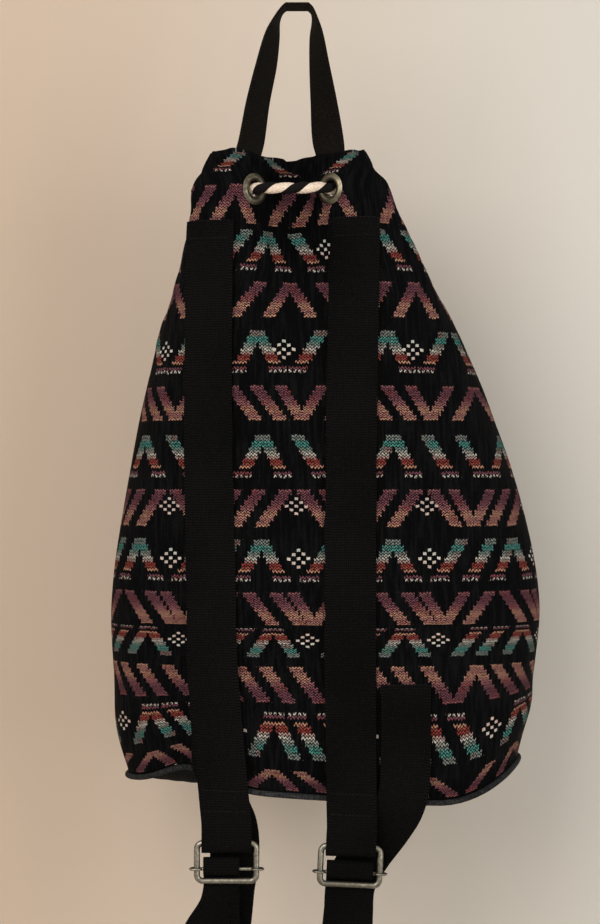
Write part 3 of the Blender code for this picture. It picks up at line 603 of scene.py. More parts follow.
PATTERN = (
    PatternRow(0.004, 0.034, Tone.TEAL, ((RIGHT, 0.10), (LEFT, 0.66))),
    PatternRow(0.056, 0.117, Tone.ROSE, ((PEAK, 0.652), (LEFT, 0.13), (LEFT, 0.35))),
    PatternRow(0.125, 0.190, Tone.TEAL, ((PEAK, 0.985), (RIGHT, 0.32), (LEFT, 0.68)), 0.50),
    PatternRow(0.208, 0.263, Tone.ROSE, ((PEAK, 0.197), (LEFT, 0.865), (RIGHT, 0.53))),
    PatternRow(0.285, 0.350, Tone.TEAL, ((PEAK, 0.947), (LEFT, 0.345), (RIGHT, 0.66)), 0.15),
    PatternRow(0.371, 0.424, Tone.ROSE, ((RIGHT, 0.84), (RIGHT, 0.03), (VALLEY, 0.285), (LEFT, 0.60))),
    PatternRow(0.447, 0.513, Tone.TEAL, ((PEAK, 0.987), (RIGHT, 0.345), (RIGHT, 0.62))),
    PatternRow(0.532, 0.589, Tone.ROSE, ((LEFT, 0.87), (LEFT, 0.075), (RIGHT, 0.385), (VALLEY, 0.62)), 0.245),
    PatternRow(0.609, 0.674, Tone.TEAL, ((PEAK, 0.98), (LEFT, 0.43), (LEFT, 0.68)), 0.262),
    PatternRow(0.691, 0.742, Tone.ROSE, ((RIGHT, 0.975), (RIGHT, 0.18), (VALLEY, 0.38), (LEFT, 0.66))),
    PatternRow(0.7436, 0.790, Tone.TEAL_TURNED, ((PEAK, 0.07), (LEFT, 0.57), (LEFT, 0.77)), 0.33),
    PatternRow(0.805, 0.861, Tone.ROSE_TURNED, ((RIGHT, 0.905), (RIGHT, 0.10), (RIGHT, 0.33), (PEAK, 0.64))),
    PatternRow(0.875, 0.949, Tone.TEAL_TURNED, ((PEAK, 0.075), (RIGHT, 0.335), (RIGHT, 0.56)), 0.78),
    PatternRow(0.967, 0.996, Tone.ROSE_TURNED, ((PEAK, 0.06), (RIGHT, 0.36), (LEFT, 0.70))),
)
ROW_SLOTS = 16
ROW_ACTIVE = 0.8
REPEAT = 0.099
REPEAT_AT_MIDDLE = 2.25


def pattern_fall(down: float) -> float:
    """The pattern's coordinate down the cloth: the row's number and how far down the row."""
    if down < PATTERN[0].top:
        return 0.0
    for k, row in enumerate(PATTERN):
        following = PATTERN[k + 1].top if k + 1 < len(PATTERN) else 1.02
        if down < row.bottom:
            return k + ROW_ACTIVE * (down - row.top) / (row.bottom - row.top)
        if down < following:
            return k + ROW_ACTIVE + (1.0 - ROW_ACTIVE) * (down - row.bottom) / (following - row.bottom)
    return float(len(PATTERN)) - 0.01


@dataclass(frozen=True)
class ClothFinish:
    """Black crinkled cloth with rows of slanting marks in coloured weft."""

    name: str = "woven_cloth"
    ground: Colour = srgb(1, 1, 2)
    # The ridge colour is a painted highlight on the crests of the crinkle ribs.
    ridge: Colour = srgb(11, 11, 12)
    teal: Colour = srgb(80, 144, 134)
    grey: Colour = srgb(128, 134, 128)
    red: Colour = srgb(146, 62, 55)
    mauve: Colour = srgb(120, 74, 84)
    rose: Colour = srgb(160, 104, 106)
    peach: Colour = srgb(202, 150, 124)
    white: Colour = srgb(212, 204, 192)
    lines: float = 14.0
    waves: float = 38.0
    dots: float = 27.0
    dot_ranks: float = 10.0
    foot: float = 0.86
    broken_foot: float = 0.93
    foot_spread: float = 0.022
    row_height: float = 0.034
    threads: float = 900.0

    def teal_stops(self) -> tuple:
        """The weft colours of a teal row, from its top to its foot."""
        return (
            (0.00, self.grey), (0.10, self.grey), (0.15, self.teal), (0.28, self.teal), (0.34, self.grey),
            (0.49, self.white), (0.57, self.red), (0.67, self.red), (0.76, self.peach), (0.86, self.mauve),
            (0.92, self.mauve), (0.97, self.white),
        )

    def rose_stops(self) -> tuple:
        """The weft colours of a rose row."""
        return (
            (0.00, self.rose), (0.08, self.mauve), (0.32, self.mauve), (0.52, self.rose), (0.72, self.peach),
            (0.86, self.rose), (0.98, self.peach),
        )

    def spots(self, g: Graph, across: Value, inner: Value, place: Value, there: Value) -> Value:
        """A mask of small separate dots in a diamond of nine.

        Args:
            g: the material's graph.
            across: the place along the girth, in repeats.
            inner: the share of the row's height.
            place: the diamond's place in the repeat.
            there: whether the row has a diamond.

        Returns:
            The mask.
        """
        off = across - place
        off = (off - off.round()) * self.dots
        level = inner * self.dot_ranks
        column, rank = off.round(), level.floor()
        dot = (abs(off - column) < 0.36) * (abs(level.fract() - 0.5) < 0.34)
        reach = abs(column) + abs(rank - 4.0)
        return dot * (column + rank + 1.0).pingpong(1.0) * (reach < 2.6) * there

    def material(self, groups: Groups) -> bpy.types.Material:
        """Builds the material."""
        g = Surface(self.name, Roughness=0.88, Specular_IOR_Level=0.06)
        across, fall, _ = g.parts(g.uv())
        fall = fall + (g.noise(g.vector(across * 22.0, fall)) - 0.5) * 0.07
        number, inner = fall.floor(), fall.fract() / ROW_ACTIVE
        active = inner < 1.0

        def by_row(channels: Callable[[PatternRow], tuple]) -> tuple[Value, Value]:
            stops = [(i / ROW_SLOTS, channels(row)) for i, row in enumerate(PATTERN)]
            return g.ramp((number + 0.5) / ROW_SLOTS, stops, constant=True)

        # Fine wavy lines of weft, and the coarser steps of the marks' edges.
        count = inner * self.lines + (across * (2 * math.pi * self.waves)).sine() * 0.30
        thread = g.span(abs(count.fract() - 0.5), 0.14, 0.42, 1.0, 0.04)
        step = ((count / 2.0).floor() + 0.5) / (self.lines / 2)
        fine = (count.floor() + 0.5) / self.lines
        rosy, turned, _ = g.parts(by_row(lambda row: (*row.tone.value, 0.0, 1.0))[0], "Color")
        along = fine + turned * (1.0 - fine * 2.0)
        # A teal row ends in a dark line and then two lines that reach past the marks, the last one broken.
        toothed = 1.0 - rosy
        foot = toothed * (along > self.foot)
        dark_line = toothed * g.calc("COMPARE", along, 0.82, 0.034)
        broken = foot * (along > self.broken_foot) * ((across * self.dots).fract() > 0.6)
        spread = foot * self.foot_spread
        mask = None
        for k in range(4):
            layout, there = by_row(lambda row: row.mark(k))
            mark = g.group(groups.mark, Across=across, Fall=step, Spread=spread, Layout=layout, On=there)
            mask = mark if mask is None else mask.larger(mark)
        thread = thread * (mask * (active - dark_line.larger(broken)))
        weft = g.blend(rosy, g.ramp(along, self.teal_stops())[0], g.ramp(along, self.rose_stops())[0])
        streak = g.noise(g.vector(across * 7.0, step * 9.0, number), detail=2.0)
        weft = g.blend(g.span(streak, 0.52, 0.68, 0.0, 0.45), weft, self.red)
        pick = g.noise(g.vector(across * 70.0, count * 2.0))
        weft = g.blend(g.span(pick, 0.38, 0.58, 0.85, 0.0), weft, self.ground)
        diamond, there = by_row(PatternRow.diamond)
        spot = self.spots(g, across, inner, g.parts(diamond, "Color")[0], there) * active
        ribs = g.noise(g.vector(across * 34.0, fall * 1.5))
        mottle = g.group(groups.mottle, Vector=g.place())
        metres = g.vector(across * REPEAT, fall * self.row_height)
        weave = g.group(groups.weave, Vector=metres, Across=self.threads, Along=self.threads)
        # Painted highlight: the crests of the crinkle ribs take the lighter ridge colour, patchy where the mottle is
        # low.
        rib_highlight = g.span(ribs * (mottle + 0.5), 0.40, 0.68, 0.0, 1.0)
        colour = g.blend(thread, g.blend(rib_highlight, self.ground, self.ridge), weft)
        g.shade(Base_Color=g.blend(spot, colour, g.blend(0.5, weft, self.white)))
        g.bump(ribs * 1.3 + weave * 0.10 + thread.larger(spot) * 0.35, 0.0016)
        return g.material


@dataclass(frozen=True)
class PlainClothFinish:
    """Black cloth of the same kind without marks, for the base, the piping and the stitches."""

    name: str
    ground: Colour
    ridge: Colour
    threads: float

    def material(self, groups: Groups) -> bpy.types.Material:
        """Builds the material."""
        g = Surface(self.name, Roughness=0.85, Specular_IOR_Level=0.1)
        weave = g.group(groups.weave, Vector=g.place(), Across=self.threads, Along=self.threads)
        mottle = g.group(groups.mottle, Vector=g.place())
        # Painted highlight: the raised threads of the weave take the lighter ridge colour, patchy with random mottle.
        g.shade(Base_Color=g.blend(weave * g.span(mottle, 0.35, 0.62, 0.2, 1.0), self.ground, self.ridge))
        g.bump(weave + mottle, 0.0007)
        return g.material


@dataclass(frozen=True)
class WebbingFinish:
    """Close-woven black webbing with a denser edge on both sides."""

    name: str
    width: float
    dark: Colour = srgb(2, 2, 2)
    light: Colour = srgb(17, 16, 16)
    across: float = 620.0
    along: float = 520.0
    edge_cords: float = 1400.0
    edge_band: tuple[float, float] = (0.0030, 0.0022)

    def material(self, groups: Groups) -> bpy.types.Material:
        """Builds the material."""
        g = Surface(self.name, Roughness=0.8, Specular_IOR_Level=0.05)
        x, y, _ = g.parts(g.uv())
        weave = g.group(groups.weave, Vector=g.uv(), Across=self.across, Along=self.along)
        inner, outer = (self.width / 2 - band for band in self.edge_band)
        edge = g.span(abs(x), inner, outer, 0.0, 1.0)
        height = weave * (1.0 - edge) + abs((y * self.edge_cords).sine()) * edge
        mottle = g.group(groups.mottle, Vector=g.place())
        # Painted highlight: the raised threads and the edge cords take the light colour, patchy with random mottle.
        share = g.calc("POWER", height, 1.6) * g.span(mottle, 0.32, 0.66, 0.25, 1.0)
        g.shade(Base_Color=g.blend(share, self.dark, self.light))
        g.bump(height, 0.0006)
        return g.material


@dataclass(frozen=True)
class RopeFinish:
    """Twisted cotton rope: one cream strand and one black one."""

    name: str = "rope_fibre"
    cream: Colour = srgb(232, 216, 198)
    shade: Colour = srgb(196, 162, 134)
    black: Colour = srgb(7, 6, 6)

    def material(self, groups: Groups) -> bpy.types.Material:
        """Builds the material. The attribute "strand" is above 0 on the cream strand."""
        g = Surface(self.name, Roughness=0.85, Specular_IOR_Level=0.15)
        strand = g.out("ShaderNodeAttribute", "Fac", attribute_name="strand")
        x, y, _ = g.parts(g.uv())
        fibres = g.noise(g.vector(x * 26.0, y * 500.0))
        mottle = g.group(groups.mottle, Vector=g.place())
        light = g.blend(g.span(fibres, 0.36, 0.60, 0.65, 0.0), self.cream, self.shade)
        light = g.blend(g.span(mottle, 0.35, 0.5, 0.25, 0.0), light, self.shade)
        g.shade(Base_Color=g.blend(g.span(strand, -0.06, 0.06, 0.0, 1.0), self.black, light))
        g.bump(fibres, 0.0006)
        return g.material


@dataclass(frozen=True)
class MetalFinish:
    """Darkened plated metal, rubbed brighter in places."""

    name: str
    dark: Colour
    bright: Colour
    roughness: float = 0.38

    def material(self, groups: Groups) -> bpy.types.Material:
        """Builds the material."""
        g = Surface(self.name, Metallic=1.0)
        mottle = g.group(groups.mottle, Vector=g.place())
        g.shade(
            Base_Color=g.blend(g.span(mottle, 0.38, 0.60, 0.0, 1.0), self.dark, self.bright),
            Roughness=g.span(mottle, 0.35, 0.65, self.roughness + 0.12, self.roughness - 0.06),
        )
        g.bump(mottle, 0.00008)
        return g.material


EYELETS_REACH = 0.15
HOLE_RADIUS = 0.0072
STEP = 0.004


@dataclass
class Drape:
    """How the hanging cloth lies. The angle is 0 at the strap side and grows to the right."""

    loop_reach: float = 0.1156
    height: float = 0.486
    width: float = 0.335
    depth: float = 0.140
    neck_width: float = 0.138
    neck_depth: float = 0.100
    lean: float = 0.030
    neck_shift: float = -0.0074
    set_back: float = 0.008
    thickness: float = 0.0024
    front_fold: tuple[float, float] = (0.038, 0.028)
    side_fold: tuple[float, float] = (0.030, 0.022)
    eyelet_drop: float = 0.030
    eyelet_radius: float = 0.012
    front_eyelets: tuple[float, float] = (-0.0326, 0.0255)
    side_eyelet: float = 0.016
    outline: tuple = (
        (0.00, 0.00, 0.00, 0.00),
        (0.05, 0.13, 0.07, 0.05),
        (0.15, 0.32, 0.31, 0.22),
        (0.30, 0.52, 0.59, 0.45),
        (0.44, 0.735, 0.79, 0.64),
        (0.60, 0.92, 0.95, 0.83),
        (0.72, 1.00, 0.97, 0.94),
        (0.84, 0.965, 0.94, 1.00),
        (0.93, 0.945, 0.93, 0.97),
        (1.00, 0.84, 0.92, 0.72),
    )

    def __post_init__(self) -> None:
        """Finds the eyelets: centre and outward normal, in the order in which the rope passes them."""
        down = self.eyelet_drop / self.height
        left, right = self.front_eyelets
        side = self.side_eyelet
        angles = (
            self.angle_at_x(self.draped, down, right, far=True),
            self.side_angle(down, True, side),
            self.side_angle(down, True, -side),
            self.angle_at_x(self.draped, down, right),
            self.angle_at_x(self.draped, down, left),
            self.side_angle(down, False, -side),
            self.side_angle(down, False, side),
            self.angle_at_x(self.draped, down, left, far=True),
        )
        self.eyelets = [(self.draped(down, a), self.normal(self.draped, down, a)) for a in angles]

    def fold_share(self, down: float) -> float:
        """How much of its full depth a neck fold has."""
        opening = mix(0.72, 1.0, smoothstep(0.0, self.eyelet_drop / self.height, down))
        return opening * (1.0 - smoothstep(0.10, 0.30, down))

    def rim_lift(self, x: float, angle: float) -> float:
        """How far the base's rim stands above its level line."""
        pinch = 0.020 * bell(x + 0.085, 0.030) * max(math.cos(angle), 0.0)
        corner = 0.030 * (max(x - 0.105, 0.0) / 0.065) ** 2
        return pinch + corner - 0.06 * x

    def draped(self, down: float, angle: float) -> Vector:
        """A point of the cloth's outer face before the eyelets press it flat."""
        widening, leaning, deepening = read_rows(self.outline, down)
        half_width = mix(self.neck_width, self.width, widening) / 2
        half_depth = mix(self.neck_depth, self.depth, deepening) / 2
        squareness = mix(3.0, 2.3, smoothstep(0.05, 0.35, down))
        x = half_width * power(math.sin(angle), 2 / squareness)
        y = -half_depth * power(math.cos(angle), 2 / squareness)
        middle = self.neck_shift + self.lean * leaning
        share = self.fold_share(down)
        fold_at = -0.004 + 0.010 * smoothstep(0.08, 0.22, down)
        front = share * self.front_fold[0] * bell(x + middle - fold_at, self.front_fold[1])
        side = share * self.side_fold[0] * bell(y, self.side_fold[1])
        facing = 1.0 if math.cos(angle) > 0 else -1.0
        dip = 0.006 * bell(x + middle - fold_at, self.front_fold[1]) * (1.0 - smoothstep(0.0, 0.06, down))
        x_draped = middle + x - math.copysign(side, math.sin(angle))
        y_draped = self.set_back * leaning + y + facing * front
        drop = self.height * down + dip - self.rim_lift(x_draped, angle) * smoothstep(0.80, 1.0, down)
        return Vector((x_draped, y_draped, -self.loop_reach - drop))

    def cloth(self, down: float, angle: float) -> Vector:
        """A point of the cloth's outer face, pressed flat where an eyelet clamps it."""
        point = self.draped(down, angle)
        seat = self.eyelet_radius + CLEARANCE
        if down < EYELETS_REACH:
            for centre, normal in self.eyelets:
                height = (point - centre).dot(normal)
                if abs(height) < seat:
                    reach = (point - centre - normal * height).length
                    point = point - normal * height * (1.0 - smoothstep(seat, seat + 0.012, reach))
        return point

    def normal(self, surface: Callable[[float, float], Vector], down: float, angle: float) -> Vector:
        """The outward normal of a surface of (down, angle)."""
        above, below = max(down - STEP, 0.0), min(down + STEP, 1.0)
        along = surface(below, angle) - surface(above, angle)
        across = surface(down, angle + STEP) - surface(down, angle - STEP)
        return along.cross(across).normalized()

    def lifted(self, down: float, angle: float, lift: float) -> Vector:
        """A point this far outside the cloth's outer face."""
        return self.cloth(down, angle) + self.normal(self.cloth, down, angle) * lift

    def angle_at_x(self, surface: Callable, down: float, x: float, far: bool = False) -> float:
        """The angle on the strap side, or on the far side, where the cloth passes this X."""
        quarter = math.pi / 2 - 0.02
        angle = bisect(-quarter, quarter, lambda a: surface(down, math.pi - a if far else a).x < x)
        return math.pi - angle if far else angle

    def side_angle(self, down: float, right: bool, y: float) -> float:
        """The angle on the right or left side where the cloth passes this Y."""
        angle = bisect(0.02, math.pi - 0.02, lambda a: self.draped(down, a).y < y)
        return angle if right else -angle

    def across(self, down: float, x: float, width: float, lift: float, parts: int = 8) -> list[Vector]:
        """A row of points across webbing that lies on the strap side of the cloth."""
        middle = self.angle_at_x(self.cloth, down, x)
        row = []
        for i in range(parts + 1):
            target = width * (i / parts - 0.5)
            angle, run, step = middle, 0.0, math.copysign(STEP, target)
            here = self.cloth(down, angle)
            while run < abs(target):
                there = self.cloth(down, angle + step)
                run += (there - here).length
                angle += step
                here = there
            row.append(self.lifted(down, angle, lift))
        return row

    def even_angles(self, count: int) -> list[float]:
        """Angles that divide the cloth's girth about evenly at a third of its height."""
        angles = [2 * math.pi * i / 1440 for i in range(1441)]
        run = distances([self.draped(0.33, a) for a in angles])
        return picked(angles, run, [run[-1] * i / count for i in range(count)])


@dataclass
class ClothBody:
    """The patterned tube, its crinkles and gathers, the base and the piping."""

    drape: Drape
    columns: int = 320
    rows: int = 140
    gather: float = 0.0024
    ripple: float = 0.0008
    wall: float = 0.0016
    piping: float = 0.0022
    sag: float = 0.008
    fine_wave: float = 0.017
    crossing_wave: float = 0.0109
    slow_wave: float = 0.061
    base_columns: int = 160
    base_rings: int = 25
    piping_columns: int = 240

    def sunk(self, down: float, run: float, angle: float) -> float:
        """How far the cloth is drawn in at a place, in metres.

        Args:
            down: share of the height.
            run: distance along the girth.
            angle: the angle of the place.

        Returns:
            The depth, never below 0.
        """
        drift = 0.010 * math.sin(9.0 * down + 2.0 * angle)
        wave = math.sin((run + drift) * 2 * math.pi / self.fine_wave) * 0.6
        wave += math.sin((run - 2 * drift) * 2 * math.pi / self.crossing_wave + 1.3) * 0.4
        long_wave = math.sin((run + 3 * drift) * 2 * math.pi / self.slow_wave + 5.0 * down)
        near_mouth = 1.0 - smoothstep(0.04, 0.45, down)
        depth = self.gather * near_mouth * (0.5 + 0.5 * wave) + self.ripple * (0.5 + 0.5 * long_wave)
        return depth * (1.0 - smoothstep(0.95, 1.0, down))

    def middle_run(self, line: Sequence[Vector], run: Sequence[float]) -> float:
        """Where the strap side crosses X = 0, as a distance along the girth from the first point.

        Args:
            line: the points of one row, from the middle of the strap side to the right and round.
            run: the distance of each point, and last the girth.

        Returns:
            The distance, below 0 where the crossing lies to the left of the first point.
        """
        step = 1 if line[0].x < 0.0 else -1
        k = 0
        while line[k].x * line[k + step].x > 0.0:
            k += step
        ends = [run[n] if n >= 0 else run[n - 1] - run[-1] for n in (k, k + step)]
        return mix(ends[0], ends[1], line[k].x / (line[k].x - line[k + step].x))

    def tube(self) -> bpy.types.Object:
        """The patterned tube with its eyelet holes."""
        angles = self.drape.even_angles(self.columns)
        downs = [(i / (self.rows - 1)) ** 1.15 for i in range(self.rows)]
        plain = [[self.drape.cloth(down, a) for a in angles] for down in downs]
        runs, rows = [], []
        half = self.columns // 2
        for i, (down, line) in enumerate(zip(downs, plain)):
            run = distances(line + line[:1])
            start = self.middle_run(line, run)
            runs.append(([r - start for r in run], run[-1]))
            above, below = plain[max(i - 1, 0)], plain[min(i + 1, self.rows - 1)]
            row = []
            for j, point in enumerate(line):
                across = line[(j + 1) % self.columns] - line[j - 1]
                outward = (below[j] - above[j]).cross(across).normalized()
                depth = self.sunk(down, run[j] if j <= half else run[j] - run[-1], angles[j])
                for centre, _ in self.drape.eyelets:
                    if down < EYELETS_REACH:
                        depth *= smoothstep(0.0125, 0.020, (point - centre).length)
                row.append(point - outward * depth)
            rows.append(row)
        for point, run in zip(rows[0], runs[0][0]):
            point.z += 0.0009 * math.sin(run * 140.0) + 0.0004 * math.sin(run * 331.0)
        falls = [pattern_fall(down) for down in downs]
        tube = grid_piece(
            "cloth_body", rows, lambda i, j: (runs[i][0][j] / REPEAT + REPEAT_AT_MIDDLE, falls[i]), closed=True
        )
        self.shift_far_half(tube, runs, half)
        self.cut_holes(tube)
        thicken(tube, self.wall, -1.0)
        smooth(tube, 60.0)
        return tube

    def shift_far_half(self, tube: bpy.types.Object, runs: list, half: int) -> None:
        """Counts the pattern on the left half back from the front, so that its seam is at the back."""
        layer = tube.data.uv_layers[0].data
        for polygon in tube.data.polygons:
            i, j = divmod(polygon.index, self.columns)
            if j >= half:
                for loop, row in zip(polygon.loop_indices, (i, i + 1, i + 1, i)):
                    layer[loop].uv.x -= runs[row][1] / REPEAT

    def cut_holes(self, tube: bpy.types.Object) -> None:
        """Removes the cloth inside the eyelets' barrels."""
        work = bmesh.new()
        work.from_mesh(tube.data)
        lowest = min(c.z for c, _ in self.drape.eyelets) - HOLE_RADIUS
        gone = []
        for face in work.faces:
            middle = face.calc_center_median()
            if middle.z > lowest and any((middle - c).length < HOLE_RADIUS for c, _ in self.drape.eyelets):
                gone.append(face)
        bmesh.ops.delete(work, geom=gone, context="FACES")
        work.to_mesh(tube.data)
        work.free()

    def rim(self, count: int) -> tuple[list[Vector], list[Vector]]:
        """The lower edge of the tube and the level directions out of it."""
        line = [self.drape.cloth(1.0, a) for a in self.drape.even_angles(count)]
        outward = []
        for i in range(count):
            along = line[(i + 1) % count] - line[i - 1]
            outward.append(Vector((along.y, -along.x, 0.0)).normalized())
        return line, outward

    def base(self) -> bpy.types.Object:
        """The base panel, which sags and crinkles a little."""
        count = self.base_columns
        line, outward = self.rim(count)
        middle = sum(line, Vector()) / count
        rows = []
        for k in range(self.base_rings):
            share = 1.0 - k / (self.base_rings - 0.5)
            row = []
            for i, (point, out) in enumerate(zip(line, outward)):
                place = mix(middle, point - out * self.piping, share)
                dent = 0.0007 * math.sin(place.x * 260.0 + 3.0 * math.sin(place.y * 90.0)) * (1.0 - share**4)
                place.z = mix(middle.z, point.z, share) - CLEARANCE - self.sag * (1.0 - share**2) - abs(dent)
                row.append(place)
            rows.append(row)
        base = grid_piece("base_cloth", rows, lambda i, j: rows[i][j % count].xy, closed=True)
        close_holes(base, first=(self.base_rings - 1) * count)
        thicken(base, self.drape.thickness, 1.0)
        smooth(base, 60.0)
        return base

    def rim_piping(self) -> bpy.types.Object:
        """The corded piping round the base."""
        line, outward = self.rim(self.piping_columns)
        cord = []
        for i, (point, out) in enumerate(zip(line, outward)):
            below = (line[(i + 1) % len(line)] - line[i - 1]).cross(out).normalized()
            drop = math.copysign(2 * CLEARANCE + self.piping, below.z)
            cord.append(point + out * 2 * CLEARANCE - below * drop)
        return wire_piece("rim_piping", cord, self.piping, True)

    def build(self, groups: Groups) -> None:
        """Builds and dresses the cloth pieces."""
        dress(self.tube(), ClothFinish().material(groups), ["outer_shell"])
        plain = PlainClothFinish("base_cloth", srgb(6, 6, 7), srgb(24, 24, 26), 700.0)
        dress(self.base(), plain.material(groups), ["base_panel"])
        trim = PlainClothFinish("piping", srgb(6, 6, 7), srgb(62, 62, 63), 900.0)
        dress(self.rim_piping(), trim.material(groups), ["base_piping"])


@dataclass
class Eyelets:
    """Domed eyelets and the washers behind the cloth."""

    drape: Drape
    bore: float = 0.0062
    barrel: float = HOLE_RADIUS
    rim: float = 0.0120
    washer: float = 0.01025

    def build(self, groups: Groups) -> None:
        """Turns one eyelet and one washer and sets a copy of each at every place."""
        brass = MetalFinish("dark_brass", srgb(84, 80, 70), srgb(124, 116, 98)).material(groups)
        top, under = 0.0013, 0.0005
        profile = [
            (self.barrel, under), (self.rim - 0.0003, under), (self.rim, under + 0.0003),
            (self.rim - 0.0002, 0.0009), (self.rim - 0.0012, 0.0017), (self.rim - 0.0024, 0.0023),
            (self.barrel + 0.0014, 0.0024), (self.barrel + 0.0004, 0.0020), (self.bore + 0.0003, 0.0013),
            (self.bore, top - 0.0010), (self.bore, -0.0052), (self.barrel + 0.0010, -0.0054),
            (self.barrel + 0.0014, -0.0050), (self.barrel + 0.0010, -0.0046), (self.barrel, -0.0046),
        ]
        ring = lathe_piece("eyelet_master", profile)
        hole, low, high = self.barrel + CLEARANCE, -0.0041, -0.0029
        washer = lathe_piece("washer_master", [(hole, low), (self.washer, low), (self.washer, high), (hole, high)])
        for i, (centre, normal) in enumerate(self.drape.eyelets, start=1):
            place = on_axis(centre, normal)
            for master, name, node in ((ring, "ring", "eyelet"), (washer, "backing", "eyelet_washer")):
                piece = copy_piece(master, f"eyelet_{name}_{i}", place)
                dress(piece, brass, [f"{node}_{i}"])
        for master in (ring, washer):
            bpy.data.objects.remove(master, do_unlink=True)


# In tenths of a millimetre, from the middle of the mouth.
ROPE_ROUTE = (
    (193, 850, -2747), (188, 818, -2587), (180, 780, -2367), (170, 750, -2127), (158, 731, -1867),
    (147, 709, -1607), (140, 681, -1387), (137, 625, -1167), (137, 578, -917), (138, 555, -677),
    (143, 535, -487), (158, 506, -364), (202, 452, -298), (255, 389, -300), (307, 329, -307),
    (375, 270, -320), (465, 250, -330), (550, 214, -327), (604, 160, -300), (648, 113, -278),
    (672, 0, -267), (664, -115, -275), (619, -160, -300), (566, -212, -330), (475, -245, -330),
    (380, -255, -312), (307, -313, -302), (255, -374, -300), (203, -433, -299), (90, -482, -303),
    (-35, -488, -309), (-160, -474, -305), (-274, -425, -300), (-326, -367, -300), (-380, -308, -301),
    (-470, -262, -313), (-565, -255, -321), (-654, -215, -317), (-710, -160, -300), (-757, -112, -285),
    (-782, 0, -277), (-743, 111, -287), (-695, 160, -300), (-640, 216, -313), (-555, 258, -319),
    (-460, 268, -315), (-379, 323, -305), (-326, 382, -300), (-276, 440, -297), (-242, 490, -347),
    (-230, 525, -467), (-226, 552, -647), (-226, 580, -867), (-229, 623, -1067), (-233, 662, -1277),
    (-240, 689, -1507), (-249, 709, -1767), (-258, 727, -2027), (-267, 745, -2287), (-275, 769, -2547),
    (-281, 810, -2777), (-284, 850, -2947),
)


@dataclass
class Rope:
    """The twisted drawstring with a stopper knot on each end."""

    drape: Drape
    diameter: float = 0.0085
    lead: float = 0.025
    sides: int = 28
    spacing: float = 0.0013
    yarn_lead: float = 0.0075

    def frames(self, line: Sequence[Vector]) -> list[tuple[Vector, Vector]]:
        """Two directions across the rope at each point, carried along without twist."""
        side = Vector((0.0, 0.0, 1.0))
        found = []
        for k, point in enumerate(line):
            along = (line[min(k + 1, len(line) - 1)] - line[max(k - 1, 0)]).normalized()
            side = (side - along * side.dot(along)).normalized()
            found.append((side.copy(), along.cross(side)))
        return found

    def radius(self, phase: float, run: float) -> float:
        """The rope's surface: two plied strands, each made of smaller yarns."""
        strand = 0.73 + 0.26 * abs(math.cos(phase)) ** 0.7
        yarn = 0.075 * abs(math.sin(1.5 * (phase - run * 2 * math.pi / self.yarn_lead)))
        return self.diameter / 2 * (strand + yarn)

    def tube(self, name: str, line: Sequence[Vector]) -> bpy.types.Object:
        """A closed twisted tube along evenly spaced points, with a UV map and the attribute "strand"."""
        rows, phases, runs = [], [], distances(line)
        turns = [2 * math.pi * i / self.sides for i in range(self.sides)]
        for point, run, (up, side) in zip(line, runs, self.frames(line)):
            row = []
            for turn in turns:
                phase = turn + 2 * math.pi * run / self.lead
                row.append(point + (up * math.cos(turn) + side * math.sin(turn)) * self.radius(phase, run))
                phases.append(phase)
            rows.append(row)
        rope = grid_piece(name, rows, lambda i, j: (j / self.sides, runs[i]), closed=True)
        strand = rope.data.attributes.new("strand", "FLOAT", "POINT")
        strand.data.foreach_set("value", [math.cos(phase) for phase in phases])
        close_holes(rope)
        turn_out(rope)
        smooth(rope, 60.0)
        return rope

    def knot(self, name: str, end: Vector, down: Vector) -> bpy.types.Object:
        """An overhand knot pulled tight, with a short tail below it."""
        route = []
        for k in range(25):
            t = 2 * math.pi * k / 24
            wide = (2.0 + math.cos(3 * t)) * 0.0018
            route.append((wide * math.cos(2 * t), wide * math.sin(2 * t), math.sin(3 * t) * 0.0048 + 0.0102))
        stub = ((0.0, 0.0, 0.0155), (0.0004, 0.0, 0.022), (0.0008, 0.0004, 0.029), (0.0006, 0.001, 0.0355))
        head = ((0.0, 0.0, 0.0002), (0.0, 0.0, 0.004), (0.0, 0.0, 0.008))
        parts = []
        for i, points in enumerate((route, stub, head)):
            line = smooth_line([Vector(p) for p in points], self.spacing)
            parts.append(self.tube(f"{name}_{i}", line))
        knot = join(name, parts)
        knot.data.transform(on_axis(end + down * CLEARANCE, down))
        return knot

    def build(self, groups: Groups) -> None:
        fibre = RopeFinish().material(groups)
        mouth = Vector((0.0, 0.0, -self.drape.loop_reach))
        line = smooth_line([mouth + Vector([v / 10000 for v in p]) for p in ROPE_ROUTE], self.spacing)
        rope = dress(self.tube("rope", line), fibre, ["drawstring"])
        for side, end, before in (("right", line[0], line[6]), ("left", line[-1], line[-7])):
            knot = self.knot(f"{side}_knot", end, (end - before).normalized())
            dress(knot, fibre, [f"{side}_rope_knot"])


def straight_row(centre: Vector, across: Vector, width: float, parts: int = 8) -> list[Vector]:
    """A straight row of points across webbing."""
    return [centre + across * width * (i / parts - 0.5) for i in range(parts + 1)]


def finer(rows: Rows, spacing: float = 0.0035) -> Rows:
    """The same webbing with rows at about this spacing, on smooth curves through the old ones."""
    count = len(rows)
    middle = [sum(row, Vector()) / len(row) for row in rows]
    found = []
    for k in range(count - 1):
        steps = max(2, round((middle[k + 1] - middle[k]).length / spacing))
        for s in range(steps):
            t = s / steps
            row = []
            for j in range(len(rows[0])):
                b, c = rows[k][j], rows[k + 1][j]
                a = rows[k - 1][j] if k else 2 * b - c
                d = rows[k + 2][j] if k + 2 < count else 2 * c - b
                span = (c - b).length
                start = (c - a).normalized() * span
                end = (d - b).normalized() * span
                row.append(hermite(b, c, start, end, t))
            found.append(row)
    found.append(rows[-1])
    return found


